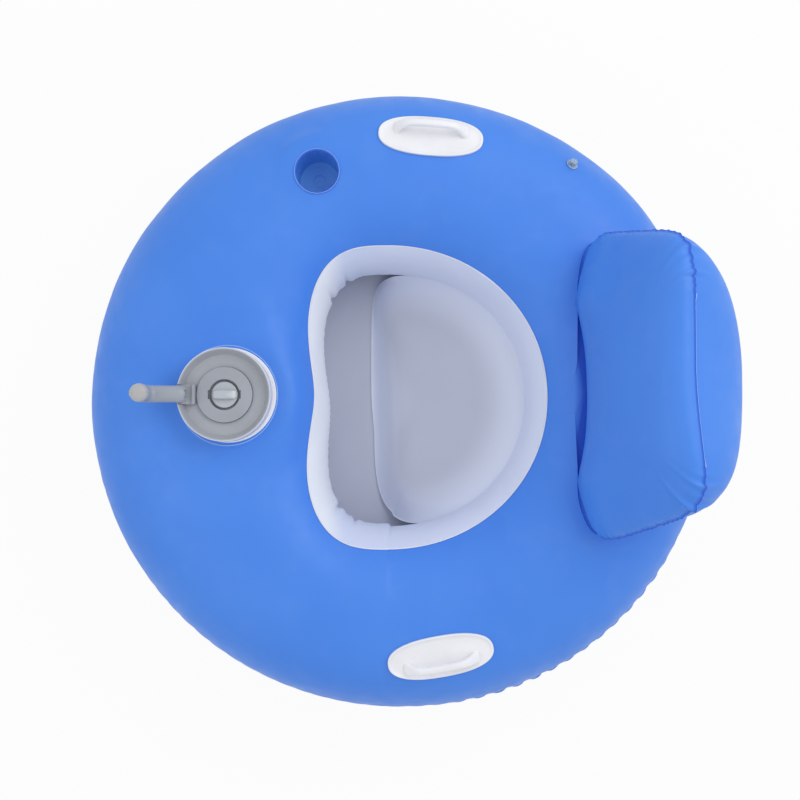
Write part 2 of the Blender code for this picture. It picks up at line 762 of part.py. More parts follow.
def build_valve(name, frame, clear, carrier):
    """Flanged valve stem with a flip cap hinged at its flange."""
    seat = empty(f"{name}_seat", (0, 0, 0))
    seat.matrix_world = frame
    flange_low = -0.0008 + GAP
    flange_high = flange_low + 0.0016
    stem_top = flange_high + VALVE_STEM_UP
    profile = [
        (VALVE_BORE_R, -VALVE_STEM_DOWN),
        (VALVE_STEM_R, -VALVE_STEM_DOWN),
        (VALVE_STEM_R, flange_low),
        (VALVE_FLANGE_R, flange_low),
        (VALVE_FLANGE_R, flange_high - 0.0006),
        (VALVE_FLANGE_R - 0.001, flange_high),
        (VALVE_STEM_R, flange_high),
        (VALVE_STEM_R, stem_top),
        (VALVE_BORE_R, stem_top),
    ]
    body = place(f"{name}_body", turned(profile, 12), clear, seat)
    post = block(
        (VALVE_HINGE_OUT - 0.0009, -0.0020, flange_high - 0.0005),
        (VALVE_HINGE_OUT + 0.0009, 0.0020, stem_top - 0.0012),
    )
    boolean(body, cutter(f"form_{name}_post", post, seat), "UNION")
    hinge = empty(f"{name}_hinge", (VALVE_HINGE_OUT, 0, stem_top), seat)
    under = GAP
    cap_profile = [
        (0.0, under - 0.0035),
        (VALVE_PLUG_R - 0.0008, under - 0.0035),
        (VALVE_PLUG_R, under - 0.0025),
        (VALVE_PLUG_R, under),
        (VALVE_CAP_R, under),
        (VALVE_CAP_R, under + VALVE_CAP_THICK - 0.0006),
        (VALVE_CAP_R - 0.0010, under + VALVE_CAP_THICK),
        (0.0, under + VALVE_CAP_THICK),
    ]
    cap = place(f"{name}_cap", turned(cap_profile, 12, base=(-VALVE_HINGE_OUT, 0, 0)), clear, hinge)
    tab = block((-0.0042, -0.0022, under), (0.0, 0.0022, under + 0.0016))
    boolean(cap, cutter(f"form_{name}_tab", tab, hinge), "UNION")
    reach = VALVE_FLANGE_R + 0.0006
    hole = VALVE_STEM_R + GAP
    socket = turned(
        [
            (0, -VALVE_STEM_DOWN - 0.002),
            (hole, -VALVE_STEM_DOWN - 0.002),
            (hole, -0.0008),
            (reach, -0.0008),
            (reach, 0.02),
            (0, 0.02),
        ],
        12,
    )
    boolean(carrier, cutter(f"cut_{name}_socket", socket, seat))


def build_sleeve(white, pale_blue):
    """What is welded into the ring for the drive unit: flange, collars and the tube through the chamber."""
    base = (DRIVE_X, 0, 0)
    low = DECK_Z + GAP
    ring = [(HOLE_R, low), (FLANGE_R, low), (FLANGE_R, low + FLANGE_THICK), (HOLE_R, low + FLANGE_THICK)]
    place("weld_flange", turned(ring, DRIVE_STEPS, base=base), pale_blue)
    top = COLLAR_TOP_Z
    collar = [
        (SLEEVE_R, COLLAR_BASE_Z),
        (COLLAR_R, COLLAR_BASE_Z),
        (COLLAR_R, top - 0.0014),
        (COLLAR_R - 0.0014, top),
        (SLEEVE_R, top),
    ]
    place("drive_collar", turned(collar, DRIVE_STEPS, base=base), white)
    low_z, high_z = LOWER_COLLAR_Z + LOWER_COLLAR_THICK + GAP, COLLAR_BASE_Z - GAP
    tube = [(SLEEVE_R, low_z), (SLEEVE_OUT_R, low_z), (SLEEVE_OUT_R, high_z), (SLEEVE_R, high_z)]
    place("drive_sleeve", turned(tube, DRIVE_STEPS, base=base), white)
    low_z = LOWER_COLLAR_Z
    collar = [
        (SLEEVE_R, low_z),
        (COLLAR_R - 0.0014, low_z),
        (COLLAR_R, low_z + 0.0014),
        (COLLAR_R, low_z + LOWER_COLLAR_THICK),
        (SLEEVE_R, low_z + LOWER_COLLAR_THICK),
    ]
    place("lower_collar", turned(collar, DRIVE_STEPS, base=base), white)


def build_housing(grey, dark, axis):
    """Turning canister: dished cap above the float, battery spigot with latch ears, lower half with its pylon."""
    under = PLATEAU_RISE - PLATEAU_THICK
    spigot_in = SPIGOT_R - SPIGOT_WALL
    spigot_top = PLATEAU_RISE + SPIGOT_RISE
    skirt = COLLAR_TOP_Z - DECK_Z + GAP
    cone_r = RIM_R - 0.0044
    inner = CANISTER_R - CANISTER_WALL
    profile = [
        (spigot_in, under),
        (spigot_in, spigot_top),
        (SPIGOT_R, spigot_top),
        (SPIGOT_R, PLATEAU_RISE),
        (PLATEAU_R, PLATEAU_RISE),
        (cone_r, RIM_RISE - 0.0020),
        (cone_r + 0.0013, RIM_RISE),
        (RIM_R - 0.0012, RIM_RISE),
        (RIM_R, RIM_RISE - 0.0014),
        (RIM_R, skirt),
        (RIM_R - RIM_WALL, skirt),
        (RIM_R - RIM_WALL, RIM_RISE - 0.0110),
        (CANISTER_R, RIM_RISE - 0.0110),
        (CANISTER_R, -JOINT_DROP),
        (inner, -JOINT_DROP),
        (inner, under),
    ]
    housing = place("top_housing", turned(profile, 32, base=(0, 0, DECK_Z)), grey, axis)
    ear_low = LID_RISE - RECESS_DEPTH - LID_PLATE - CAM_DROP + 0.0010
    for side, word in ((1, "right"), (-1, "left")):
        low = (-EAR_WIDTH / 2, side * EAR_REACH, DECK_Z + ear_low)
        high = (EAR_WIDTH / 2, side * (spigot_in + 0.0010), DECK_Z + ear_low + EAR_THICK)
        corner_low = [min(a, b) for a, b in zip(low, high)]
        corner_high = [max(a, b) for a, b in zip(low, high)]
        ear = cutter(f"form_{word}_ear", block(corner_low, corner_high), axis)
        boolean(housing, ear, "UNION")
    half = BRACKET_WIDTH / 2 + GAP
    shelf_low = PIVOT_RISE - TUBE_R - GAP - SHELF_THICK
    notch = block((-RIM_R - 0.003, -half, DECK_Z + shelf_low - GAP), (-PLATEAU_R + 0.004, half, DECK_Z + 0.06))
    boolean(housing, cutter("cut_rim_notch", notch, axis))

    seal_top = DECK_Z - JOINT_DROP - GAP
    seal = [(inner, seal_top - GASKET_THICK), (CANISTER_R, seal_top - GASKET_THICK),
            (CANISTER_R, seal_top), (inner, seal_top)]
    place("housing_gasket", turned(seal, 20), dark, axis)

    joint = seal_top - GASKET_THICK - GAP
    low = CANISTER_BOTTOM_Z
    spigot_out = inner - GAP
    spigot_r = spigot_out - 0.0022
    lower = [
        (CANISTER_R, joint),
        (inner, joint),
        (inner, joint - 0.006),
        (spigot_r, joint - 0.008),
        (spigot_r, low + HOUSING_FLOOR),
        (0.0, low + HOUSING_FLOOR),
        (0.0, low),
        (CANISTER_R - 0.005, low),
        (CANISTER_R, low + 0.0035),
    ]
    body = place("lower_housing", turned(lower, 36), grey, axis)
    pylon = cutter(
        "form_pylon",
        extruded(oval(PYLON_LENGTH / 2, PYLON_WIDTH / 2, 2.0, 20), DUCT_Z + DUCT_R * 0.72, low + 0.0015),
        axis,
    )
    reach = DUCT_R + GAP
    saddle = turned([(0, -0.08), (reach, -0.08), (reach, 0.08), (0, 0.08)], 32, "X", (0, 0, DUCT_Z))
    boolean(pylon, cutter("cut_saddle", saddle, axis))
    boolean(body, pylon, "UNION")

    outer, inner_r = [], []
    steps = RETAINER_LOBES * 4
    for i in range(steps):
        turn = 2 * math.pi * i / steps
        reach = RETAINER_R - 0.0022 * max(0.0, math.cos(RETAINER_LOBES * turn)) ** 1.5
        outer.append(Vector((reach * math.cos(turn), reach * math.sin(turn), 0)))
        bore_r = CANISTER_R + GAP
        inner_r.append(Vector((bore_r * math.cos(turn), bore_r * math.sin(turn), 0)))
    lift_low, lift_high = Vector((0, 0, RETAINER_Z)), Vector((0, 0, RETAINER_Z + RETAINER_THICK))
    rows = [
        [p + lift_low for p in inner_r],
        [p + lift_low for p in outer],
        [p + lift_high for p in outer],
        [p + lift_high for p in inner_r],
    ]
    place("retaining_ring", lofted(rows, closed=True), grey, axis)


def build_battery(grey, steel, cell_finish, axis):
    """Case hung from the plateau, contact plates and two tiers of four cells."""
    spacing = CELL_R + GAP / 2
    case_r = spacing * math.sqrt(2) + CELL_R + 2 * GAP
    top = DECK_Z - CELL_TOP_DROP
    low_top = top - CELL_LENGTH - GAP
    plate_top = low_top - CELL_LENGTH - GAP
    case_floor = plate_top - CONTACT_THICK - GAP
    flange_top = DECK_Z + PLATEAU_RISE - PLATEAU_THICK - GAP
    profile = [
        (0.0, case_floor - CASE_WALL),
        (case_r + CASE_WALL, case_floor - CASE_WALL),
        (case_r + CASE_WALL, flange_top - 0.012),
        (SPIGOT_R, flange_top - 0.008),
        (SPIGOT_R, flange_top - CASE_FLANGE),
        (CASE_FLANGE_R, flange_top - CASE_FLANGE),
        (CASE_FLANGE_R, flange_top),
        (SPIGOT_R - SPIGOT_WALL, flange_top),
        (SPIGOT_R - SPIGOT_WALL, flange_top - 0.008),
        (case_r, flange_top - 0.012),
        (case_r, case_floor),
        (0.0, case_floor),
    ]
    place("battery_case", turned(profile, 24), grey, axis)
    for name, low in (("lower_contact_plate", plate_top - CONTACT_THICK), ("upper_contact_plate", top + GAP)):
        plate = [(0, low), (CONTACT_R, low), (CONTACT_R, low + CONTACT_THICK), (0, low + CONTACT_THICK)]
        place(name, turned(plate, 24), steel, axis)
    number = 0
    for tier_top in (top, low_top):
        for along in (-1, 1):
            for across in (-1, 1):
                number += 1
                low = tier_top - CELL_LENGTH
                cell = [
                    (0.0, low),
                    (CELL_R, low),
                    (CELL_R, tier_top - CELL_NUB),
                    (CELL_NUB_R, tier_top - CELL_NUB),
                    (CELL_NUB_R, tier_top),
                    (0.0, tier_top),
                ]
                base = (along * spacing, across * spacing, 0)
                place(f"battery_cell_{number}", turned(cell, 12, base=base), cell_finish, axis)


def build_lid(grey, dark, steel, axis):
    """Screw-down battery lid with its seal, and the quarter-turn knob with its latch cam."""
    lid_axis = empty("lid_axis", (0, 0, DECK_Z), axis)
    recess_floor = LID_RISE - RECESS_DEPTH
    hole = SPINDLE_R + GAP
    skirt_in = SPIGOT_R + GAP
    plate_low = PLATEAU_RISE + SPIGOT_RISE + GAP + SEAL_THICK + GAP
    profile = [
        (hole, recess_floor - LID_PLATE),
        (hole, recess_floor),
        (RECESS_R, recess_floor),
        (RECESS_R, LID_RISE - 0.0008),
        (RECESS_R + 0.0008, LID_RISE),
        (LID_R - 0.0012, LID_RISE),
        (LID_R, LID_RISE - 0.0012),
        (LID_R, PLATEAU_RISE + GAP),
        (skirt_in, PLATEAU_RISE + GAP),
        (skirt_in, plate_low),
        (RECESS_R + LID_PLATE, plate_low),
        (RECESS_R + LID_PLATE, recess_floor - LID_PLATE),
    ]
    place("battery_lid", turned(profile, 32), grey, lid_axis)
    seal_low = PLATEAU_RISE + SPIGOT_RISE + GAP
    seal_in = SPIGOT_R - SPIGOT_WALL + 0.0001
    seal = [(seal_in, seal_low), (SPIGOT_R, seal_low), (SPIGOT_R, seal_low + SEAL_THICK),
            (seal_in, seal_low + SEAL_THICK)]
    place("lid_seal", turned(seal, 20), dark, lid_axis)

    knob_axis = empty("knob_axis", (0, 0, 0), lid_axis)
    disc_low = recess_floor + GAP
    disc_high = disc_low + KNOB_DISC
    cam_high = recess_floor - LID_PLATE - CAM_DROP
    cam_low = cam_high - CAM_THICK
    knob = [
        (0.0, cam_low - 0.0015),
        (SPINDLE_R, cam_low - 0.0015),
        (SPINDLE_R, disc_low),
        (KNOB_R, disc_low),
        (KNOB_R, disc_high - 0.0010),
        (KNOB_R - 0.0010, disc_high),
        (0.0, disc_high),
    ]
    turn_knob = place("lid_knob", turned(knob, 24), grey, knob_axis)
    half = KNOB_BAR_WIDTH / 2
    ends = []
    for side in (1, -1):
        for i in range(-2, 3):
            y = side * half * i / 2
            ends.append((side * math.sqrt((KNOB_R - 0.0002) ** 2 - y**2), y))
    bar_high = disc_high + KNOB_BAR_RISE
    rows = []
    for inset, z in ((0.0, disc_high - 0.003), (0.0, bar_high - 0.0022), (0.0012, bar_high - 0.0006), (0.0034, bar_high)):
        rows.append([Vector((x * (1 - inset / KNOB_R), y * (1 - inset / half), z)) for x, y in ends])
    bar = cutter("form_knob_bar", lofted(rows), knob_axis)
    boolean(turn_knob, bar, "UNION")

    cam = place("latch_cam", extruded(stadium(CAM_REACH, CAM_WIDTH / 2, 4), cam_low, cam_high), steel, knob_axis)
    hub_high = recess_floor - LID_PLATE - GAP
    hub = turned([(0, cam_low), (0.0085, cam_low), (0.0085, hub_high), (0, hub_high)], 16)
    boolean(cam, cutter("form_cam_hub", hub, knob_axis), "UNION")
    bore = turned([(0, cam_low - 0.01), (hole, cam_low - 0.01), (hole, hub_high + 0.01), (0, hub_high + 0.01)], 16)
    boolean(cam, cutter("cut_cam_bore", bore, knob_axis))


def polar_plate(radii, kept, spokes, spoke_width, thick, dome):
    """Grille of rings and spokes: a polar grid whose open cells are left out, raised to a plate with a dome."""
    bm = bmesh.new()
    turns = []
    for k in range(spokes):
        middle = 2 * math.pi * k / spokes
        turns.append((middle, True))
        turns.append((middle, False))
    steps = spokes * 3

    def angle(index, radius):
        k, part = divmod(index, 3)
        middle = 2 * math.pi * k / spokes
        half = math.asin(min(spoke_width / 2 / max(radius, 1e-4), 0.9))
        nxt = 2 * math.pi / spokes
        return middle + (-half, half, nxt / 2)[part]

    outer = radii[-1]
    low, high = [], []
    for radius in radii:
        bulge = dome * (1 - (radius / outer) ** 2)
        rows = ([], [])
        for i in range(steps):
            turn = angle(i, radius)
            for row, z in zip(rows, (bulge, bulge + thick)):
                row.append(bm.verts.new((radius * math.cos(turn), radius * math.sin(turn), z)))
        low.append(rows[0])
        high.append(rows[1])
    cells = {}
    for band in range(len(radii) - 1):
        for i in range(steps):
            cells[band, i] = kept[band] or i % 3 == 0
    for (band, i), filled in cells.items():
        if not filled:
            continue
        j = (i + 1) % steps
        for level, flip in ((low, True), (high, False)):
            face = [level[band][i], level[band][j], level[band + 1][j], level[band + 1][i]]
            bm.faces.new(face if not flip else face[::-1])
        if not cells[band, (i - 1) % steps]:
            bm.faces.new((low[band][i], high[band][i], high[band + 1][i], low[band + 1][i]))
        if not cells[band, j]:
            bm.faces.new((low[band][j], low[band + 1][j], high[band + 1][j], high[band][j]))
        if band == 0 or not cells[band - 1, i]:
            bm.faces.new((low[band][i], low[band][j], high[band][j], high[band][i]))
        if band == len(radii) - 2 or not cells[band + 1, i]:
            bm.faces.new((low[band + 1][i], high[band + 1][i], high[band + 1][j], low[band + 1][j]))
    for loose in [v for v in bm.verts if not v.link_faces]:
        bm.verts.remove(loose)
    return bm


def build_duct(dark, grey, axis):
    """Thrust duct with its foot, stator vanes and motor pod, closed by two domed grilles."""
    inner = DUCT_R - DUCT_WALL
    rebate = inner + GRILLE_REBATE
    shoulder = DUCT_HALF - GRILLE_THICK - GAP
    profile = [
        (DUCT_R - 0.0012, -DUCT_HALF),
        (DUCT_R, -DUCT_HALF + 0.002),
        (DUCT_R, DUCT_HALF - 0.002),
        (DUCT_R - 0.0012, DUCT_HALF),
        (rebate, DUCT_HALF),
        (rebate, shoulder),
        (inner - NOZZLE_SQUEEZE, shoulder),
        (inner, 0.0),
        (inner, -shoulder),
        (rebate, -shoulder),
        (rebate, -DUCT_HALF),
    ]
    duct = place("thrust_duct", turned(profile, 32, "X", (0, 0, DUCT_Z)), grey, axis)
    foot = block(
        (-FOOT_LENGTH / 2, -FOOT_WIDTH / 2, 0.0),
        (FOOT_LENGTH / 2, FOOT_WIDTH / 2, DUCT_Z - DUCT_R + 0.0036),
        0.0012,
    )
    boolean(duct, cutter("form_foot", foot, axis), "UNION")
    pod_in = POD_R - POD_WALL
    hole = SHAFT_R + GAP
    pod = [
        (hole, POD_FRONT),
        (POD_R - 0.006, POD_FRONT),
        (POD_R - 0.0018, POD_FRONT + 0.003),
        (POD_R, POD_FRONT + 0.009),
        (POD_R, POD_REAR),
        (pod_in, POD_REAR),
        (pod_in, POD_FRONT + POD_NOSE),
        (hole, POD_FRONT + POD_NOSE),
    ]
    shell = cutter("form_pod", turned(pod, 20, "X", (0, 0, DUCT_Z)), axis)
    boolean(duct, shell, "UNION")
    for k in range(3):
        fin = block((-0.012, -VANE_THICK / 2, POD_R - 0.0014), (0.024, VANE_THICK / 2, inner + 0.0015))
        bmesh.ops.rotate(fin, verts=fin.verts, matrix=Matrix.Rotation(2 * math.pi * k / 3, 3, "X"))
        bmesh.ops.translate(fin, verts=fin.verts, vec=(0, 0, DUCT_Z))
        boolean(duct, cutter(f"form_vane_{k + 1}", fin, axis), "UNION")

    edge = rebate - GAP
    radii = [0.004, 0.0085, 0.0170, 0.0200, 0.0290, 0.0320, 0.0410, edge]
    radii[-2] = edge - 0.0048
    kept = [True, False, True, False, True, False, True]
    for name, side in (("front_grille", -1), ("rear_grille", 1)):
        plate = polar_plate(radii, kept, GRILLE_SPOKES, 0.0022, GRILLE_THICK - 0.0007, GRILLE_DOME)
        bmesh.ops.rotate(plate, verts=plate.verts, matrix=Matrix.Rotation(side * math.pi / 2, 3, "Y"))
        bmesh.ops.translate(plate, verts=plate.verts, vec=(side * (shoulder + GAP), 0, DUCT_Z))
        place(name, plate, dark, axis)


def build_motor(grey, steel, dark, magnet_finish, axis):
    """Motor in the pod: can, two magnets, end bell, tail cone and shaft seal."""
    pod_in = POD_R - POD_WALL
    can_out = pod_in - GAP
    can_in = can_out - CAN_WALL
    front = POD_FRONT + POD_NOSE + GAP
    rear = POD_REAR - 0.0030
    hole = SHAFT_R + GAP
    centre = (0, 0, DUCT_Z)
    can = [(hole, front), (can_out, front), (can_out, rear), (can_in, rear), (can_in, front + CAN_WALL),
           (hole, front + CAN_WALL)]
    place("motor_can", turned(can, 20, "X", centre), steel, axis)
    outer = can_in - GAP
    inner = outer - MAGNET_THICK
    for word, middle in (("upper", math.pi / 2), ("lower", -math.pi / 2)):
        arc = []
        span = math.radians(62)
        for radius, order in ((outer, 1), (inner, -1)):
            for i in range(9):
                turn = middle + order * span * (i / 4 - 1)
                arc.append((radius * math.cos(turn), radius * math.sin(turn)))
        bm = extruded(arc, front + 0.006, rear - 0.006)
        bmesh.ops.rotate(bm, verts=bm.verts, matrix=Matrix(((0, 0, 1), (1, 0, 0), (0, 1, 0))))
        bmesh.ops.translate(bm, verts=bm.verts, vec=centre)
        place(f"{word}_magnet", bm, magnet_finish, axis)
    bell_low, bell_high = rear + GAP, POD_REAR - GAP
    bell = [(hole, bell_low), (can_out, bell_low), (can_out, bell_high), (hole, bell_high)]
    place("motor_end_bell", turned(bell, 20, "X", centre), dark, axis)
    tail = [(0.0, POD_REAR + GAP), (POD_R, POD_REAR + GAP), (POD_R * 0.93, POD_REAR + 0.004),
            (POD_R * 0.66, POD_REAR + 0.009), (POD_R * 0.25, POD_REAR + 0.0118), (0.0, POD_REAR + 0.0122)]
    place("pod_tail_cone", turned(tail, 24, "X", centre), grey, axis)
    seal_high = POD_FRONT - GAP
    seal = [(hole, seal_high - 0.0024), (0.008, seal_high - 0.0024), (0.0085, seal_high - 0.0018),
            (0.0085, seal_high), (hole, seal_high)]
    place("shaft_seal", turned(seal, 16, "X", centre), dark, axis)


def build_propeller(blue_grey, steel, copper, axis):
    """Three-blade propeller on the armature shaft, held by a cap nut."""
    spin = empty("propeller_axis", (0, 0, DUCT_Z), axis)
    hub_high = POD_FRONT - GAP - 0.0024 - 0.0010
    hub_low = hub_high - PROP_HUB_LENGTH
    bore = SHAFT_R + GAP
    hub = [(bore, hub_low), (PROP_HUB_R * 0.8, hub_low), (PROP_HUB_R, hub_low + 0.003), (PROP_HUB_R, hub_high),
           (bore, hub_high)]
    prop = place("propeller", turned(hub, 24, "X"), blue_grey, spin)
    middle = (hub_low + hub_high) / 2
    for k in range(PROP_BLADES):
        rows = []
        stations = 5
        for s in range(stations + 1):
            share = s / stations
            radius = PROP_HUB_R * 0.78 + (PROP_TIP_R - PROP_HUB_R * 0.78) * share
            chord = PROP_CHORD * (0.62 + 0.55 * math.sin(math.pi * min(share * 0.9 + 0.08, 1.0)))
            if s == stations:
                chord *= 0.62
            thick = 0.0032 - 0.0019 * share
            pitch = math.atan(PROP_PITCH / (2 * math.pi * radius))
            ring = []
            for i in range(8):
                turn = 2 * math.pi * i / 8
                along = chord / 2 * math.cos(turn)
                camber = 0.0012 * (1 - math.cos(turn) ** 2)
                across = thick / 2 * math.sin(turn) + camber
                axial = along * math.sin(pitch) + across * math.cos(pitch)
                tangent = along * math.cos(pitch) - across * math.sin(pitch)
                bend = tangent / radius
                ring.append(Vector((middle + axial, radius * math.sin(bend), radius * math.cos(bend))))
            rows.append(ring)
        bm = lofted(rows)
        bmesh.ops.rotate(bm, verts=bm.verts, matrix=Matrix.Rotation(2 * math.pi * k / PROP_BLADES, 3, "X"))
        boolean(prop, cutter(f"form_blade_{k + 1}", bm, spin), "UNION")
    nut_high = hub_low - GAP
    bore = bore / math.cos(math.pi / 6)
    nut = [(bore, nut_high - 0.0034), (0.0058, nut_high - 0.0034), (0.0066, nut_high - 0.0026), (0.0066, nut_high), (bore, nut_high)]
    place("propeller_nut", turned(nut, 6, "X"), steel, spin)

    front = POD_FRONT + POD_NOSE + GAP
    rear = POD_REAR - 0.0030
    shaft_low, shaft_high = nut_high - 0.0034, POD_REAR - GAP - 0.0006
    comm_low, comm_high = rear - 0.0095, rear - 0.0040
    shaft = [
        (0.0, shaft_low),
        (SHAFT_R, shaft_low),
        (SHAFT_R, comm_low),
        (0.0055, comm_low),
        (0.0055, comm_high),
        (SHAFT_R, comm_high),
        (SHAFT_R, shaft_high),
        (0.0, shaft_high),
    ]
    rotor = place("armature", turned(shaft, 14, "X"), copper, spin)
    outline = []
    poles = 5
    for k in range(poles):
        middle_turn = 2 * math.pi * k / poles
        half = math.pi / poles
        for offset, radius in ((-half * 0.93, 0.0062), (-half * 0.42, 0.0075), (-half * 0.86, ARMATURE_R * 0.86),
                               (-half * 0.84, ARMATURE_R), (-half * 0.28, ARMATURE_R), (half * 0.28, ARMATURE_R),
                               (half * 0.84, ARMATURE_R), (half * 0.86, ARMATURE_R * 0.86), (half * 0.42, 0.0075),
                               (half * 0.93, 0.0062)):
            turn = middle_turn + offset
            outline.append((radius * math.cos(turn), radius * math.sin(turn)))
    core = extruded(outline, front + 0.010, rear - 0.012)
    bmesh.ops.rotate(core, verts=core.verts, matrix=Matrix(((0, 0, 1), (1, 0, 0), (0, 1, 0))))
    boolean(rotor, cutter("form_armature_core", core, spin), "UNION")


def build_bracket(grey, steel, axis):
    """Tiller bracket across the rim notch: foot on the plateau, shelf with a stop lip, and the pivot tongue."""
    half = BRACKET_WIDTH / 2
    shelf_top = PIVOT_RISE - TUBE_R - GAP
    shelf_low = shelf_top - SHELF_THICK
    stand = Matrix.Rotation(math.pi / 2, 4, "X")
    stand.translation = Vector((0, 0, DECK_Z))
    foot_low = PLATEAU_RISE + GAP
    foot_out = -PLATEAU_R + 0.0032
    rim_out = -RIM_R - 0.0015
    side_view = [
        (-BRACKET_BACK - 0.0012, foot_low),
        (-BRACKET_BACK, foot_low + 0.0012),
        (-BRACKET_BACK, shelf_top + 0.0036),
        (-BRACKET_BACK - 0.0010, shelf_top + 0.0046),
        (-BRACKET_BACK - 0.0050, shelf_top + 0.0046),
        (-BRACKET_BACK - 0.0058, shelf_top),
        (rim_out, shelf_top),
        (rim_out, shelf_low),
        (foot_out - 0.0030, shelf_low),
        (foot_out, shelf_low - 0.0030),
        (foot_out, foot_low),
    ]
    rows = []
    for y, inset in ((-half, 0.0008), (-half + 0.0008, 0.0), (half - 0.0008, 0.0), (half, 0.0008)):
        middle_x, middle_z = (rim_out - BRACKET_BACK) / 2, (shelf_top + shelf_low) / 2
        row = []
        for x, z in side_view:
            x -= math.copysign(inset, x - middle_x)
            z -= math.copysign(inset, z - middle_z)
            row.append(stand @ Vector((x, z, y)))
        rows.append(row)
    bracket = place("tiller_bracket", lofted(rows), grey, axis)
    lip = []
    for x, y in ((-SHELF_OUT, 0.0), (-SHELF_OUT + 0.001, 0.006), (-SHELF_OUT + 0.006, 0.0115), (-RIM_R, half - 0.002)):
        lip.append((x, y))
    outline = lip + [(-RIM_R + 0.005, half - 0.002)]
    outline = outline + [(x, -y) for x, y in outline[:0:-1]]
    shelf = extruded(outline, DECK_Z + shelf_low + 0.0035, DECK_Z + shelf_top - GAP)
    boolean(bracket, cutter("form_bracket_lip", shelf, axis), "UNION")
    points = [(-PIVOT_OUT - TONGUE_R, shelf_top - 0.0047), (-PIVOT_OUT + TONGUE_R, shelf_top - 0.0047)]
    for i in range(9):
        turn = math.pi * i / 8
        points.append((-PIVOT_OUT + TONGUE_R * math.cos(turn), PIVOT_RISE + TONGUE_R * math.sin(turn)))
    tongue = extruded(points, -TONGUE_HALF, TONGUE_HALF, stand)
    boolean(bracket, cutter("form_bracket_tongue", tongue, axis), "UNION")
    hole = PIN_R + GAP
    bore = turned([(0, -0.03), (hole, -0.03), (hole, 0.03), (0, 0.03)], 16, "Y", (-PIVOT_OUT, 0, PIVOT_Z))
    boolean(bracket, cutter("cut_bracket_pin", bore, axis))
    reach = TUBE_R - 0.0017
    pin = [(0, -reach), (PIN_R, -reach), (PIN_R, reach), (0, reach)]
    place("pivot_pin", turned(pin, 16, "Y", (-PIVOT_OUT, 0, PIVOT_Z)), steel, axis)


def tiller_path():
    """Centreline of the tiller in its own plane: (x, z, radius) from the knuckle, round the elbow, up the grip."""
    grip_x = -(GRIP_OUT - PIVOT_OUT)
    path = []
    for i in range(4):
        turn = math.pi / 2 * i / 4
        path.append((TUBE_R * math.cos(turn), 0.0, TUBE_R * math.sin(turn)))
    path[0] = (TUBE_R * 0.995, 0.0, TUBE_R * 0.12)
    path.append((0.0, 0.0, TUBE_R))
    path.append((grip_x + ELBOW_R + 0.004, 0.0, TUBE_R))
    for i in range(6):
        turn = math.pi / 2 * i / 5
        x = grip_x + ELBOW_R - ELBOW_R * math.sin(turn)
        z = ELBOW_R - ELBOW_R * math.cos(turn)
        path.append((x, z, TUBE_R + (GRIP_R - 0.0008 - TUBE_R) * i / 5))
    top = GRIP_TOP_RISE - PIVOT_RISE
    low = ELBOW_R
    for share, swell in ((0.25, 0.0), (0.60, 0.0004), (1.0, 0.0)):
        path.append((grip_x, low + (top - GRIP_CROWN - low) * share, GRIP_R + swell))
    for i in range(1, 5):
        turn = math.pi / 2 * i / 4
        height = top - GRIP_CROWN + GRIP_CROWN * math.sin(turn)
        path.append((grip_x, height, GRIP_R * max(math.cos(turn), 0.10)))
    return path


def swept(path, shrink=0.0, steps=14):
    """A round bar along a centreline in the XZ plane."""
    rows = []
    count = len(path)
    for k, (x, z, radius) in enumerate(path):
        before, after = path[max(k - 1, 0)], path[min(k + 1, count - 1)]
        tangent = Vector((after[0] - before[0], 0.0, after[1] - before[1])).normalized()
        normal = Vector((-tangent.z, 0.0, tangent.x))
        reach = max(radius - shrink, 0.0008)
        row = []
        for i in range(steps):
            turn = 2 * math.pi * (i + 0.5) / steps
            row.append(Vector((x, reach * math.cos(turn), z)) + normal * reach * math.sin(turn))
        rows.append(row)
    return lofted(rows)


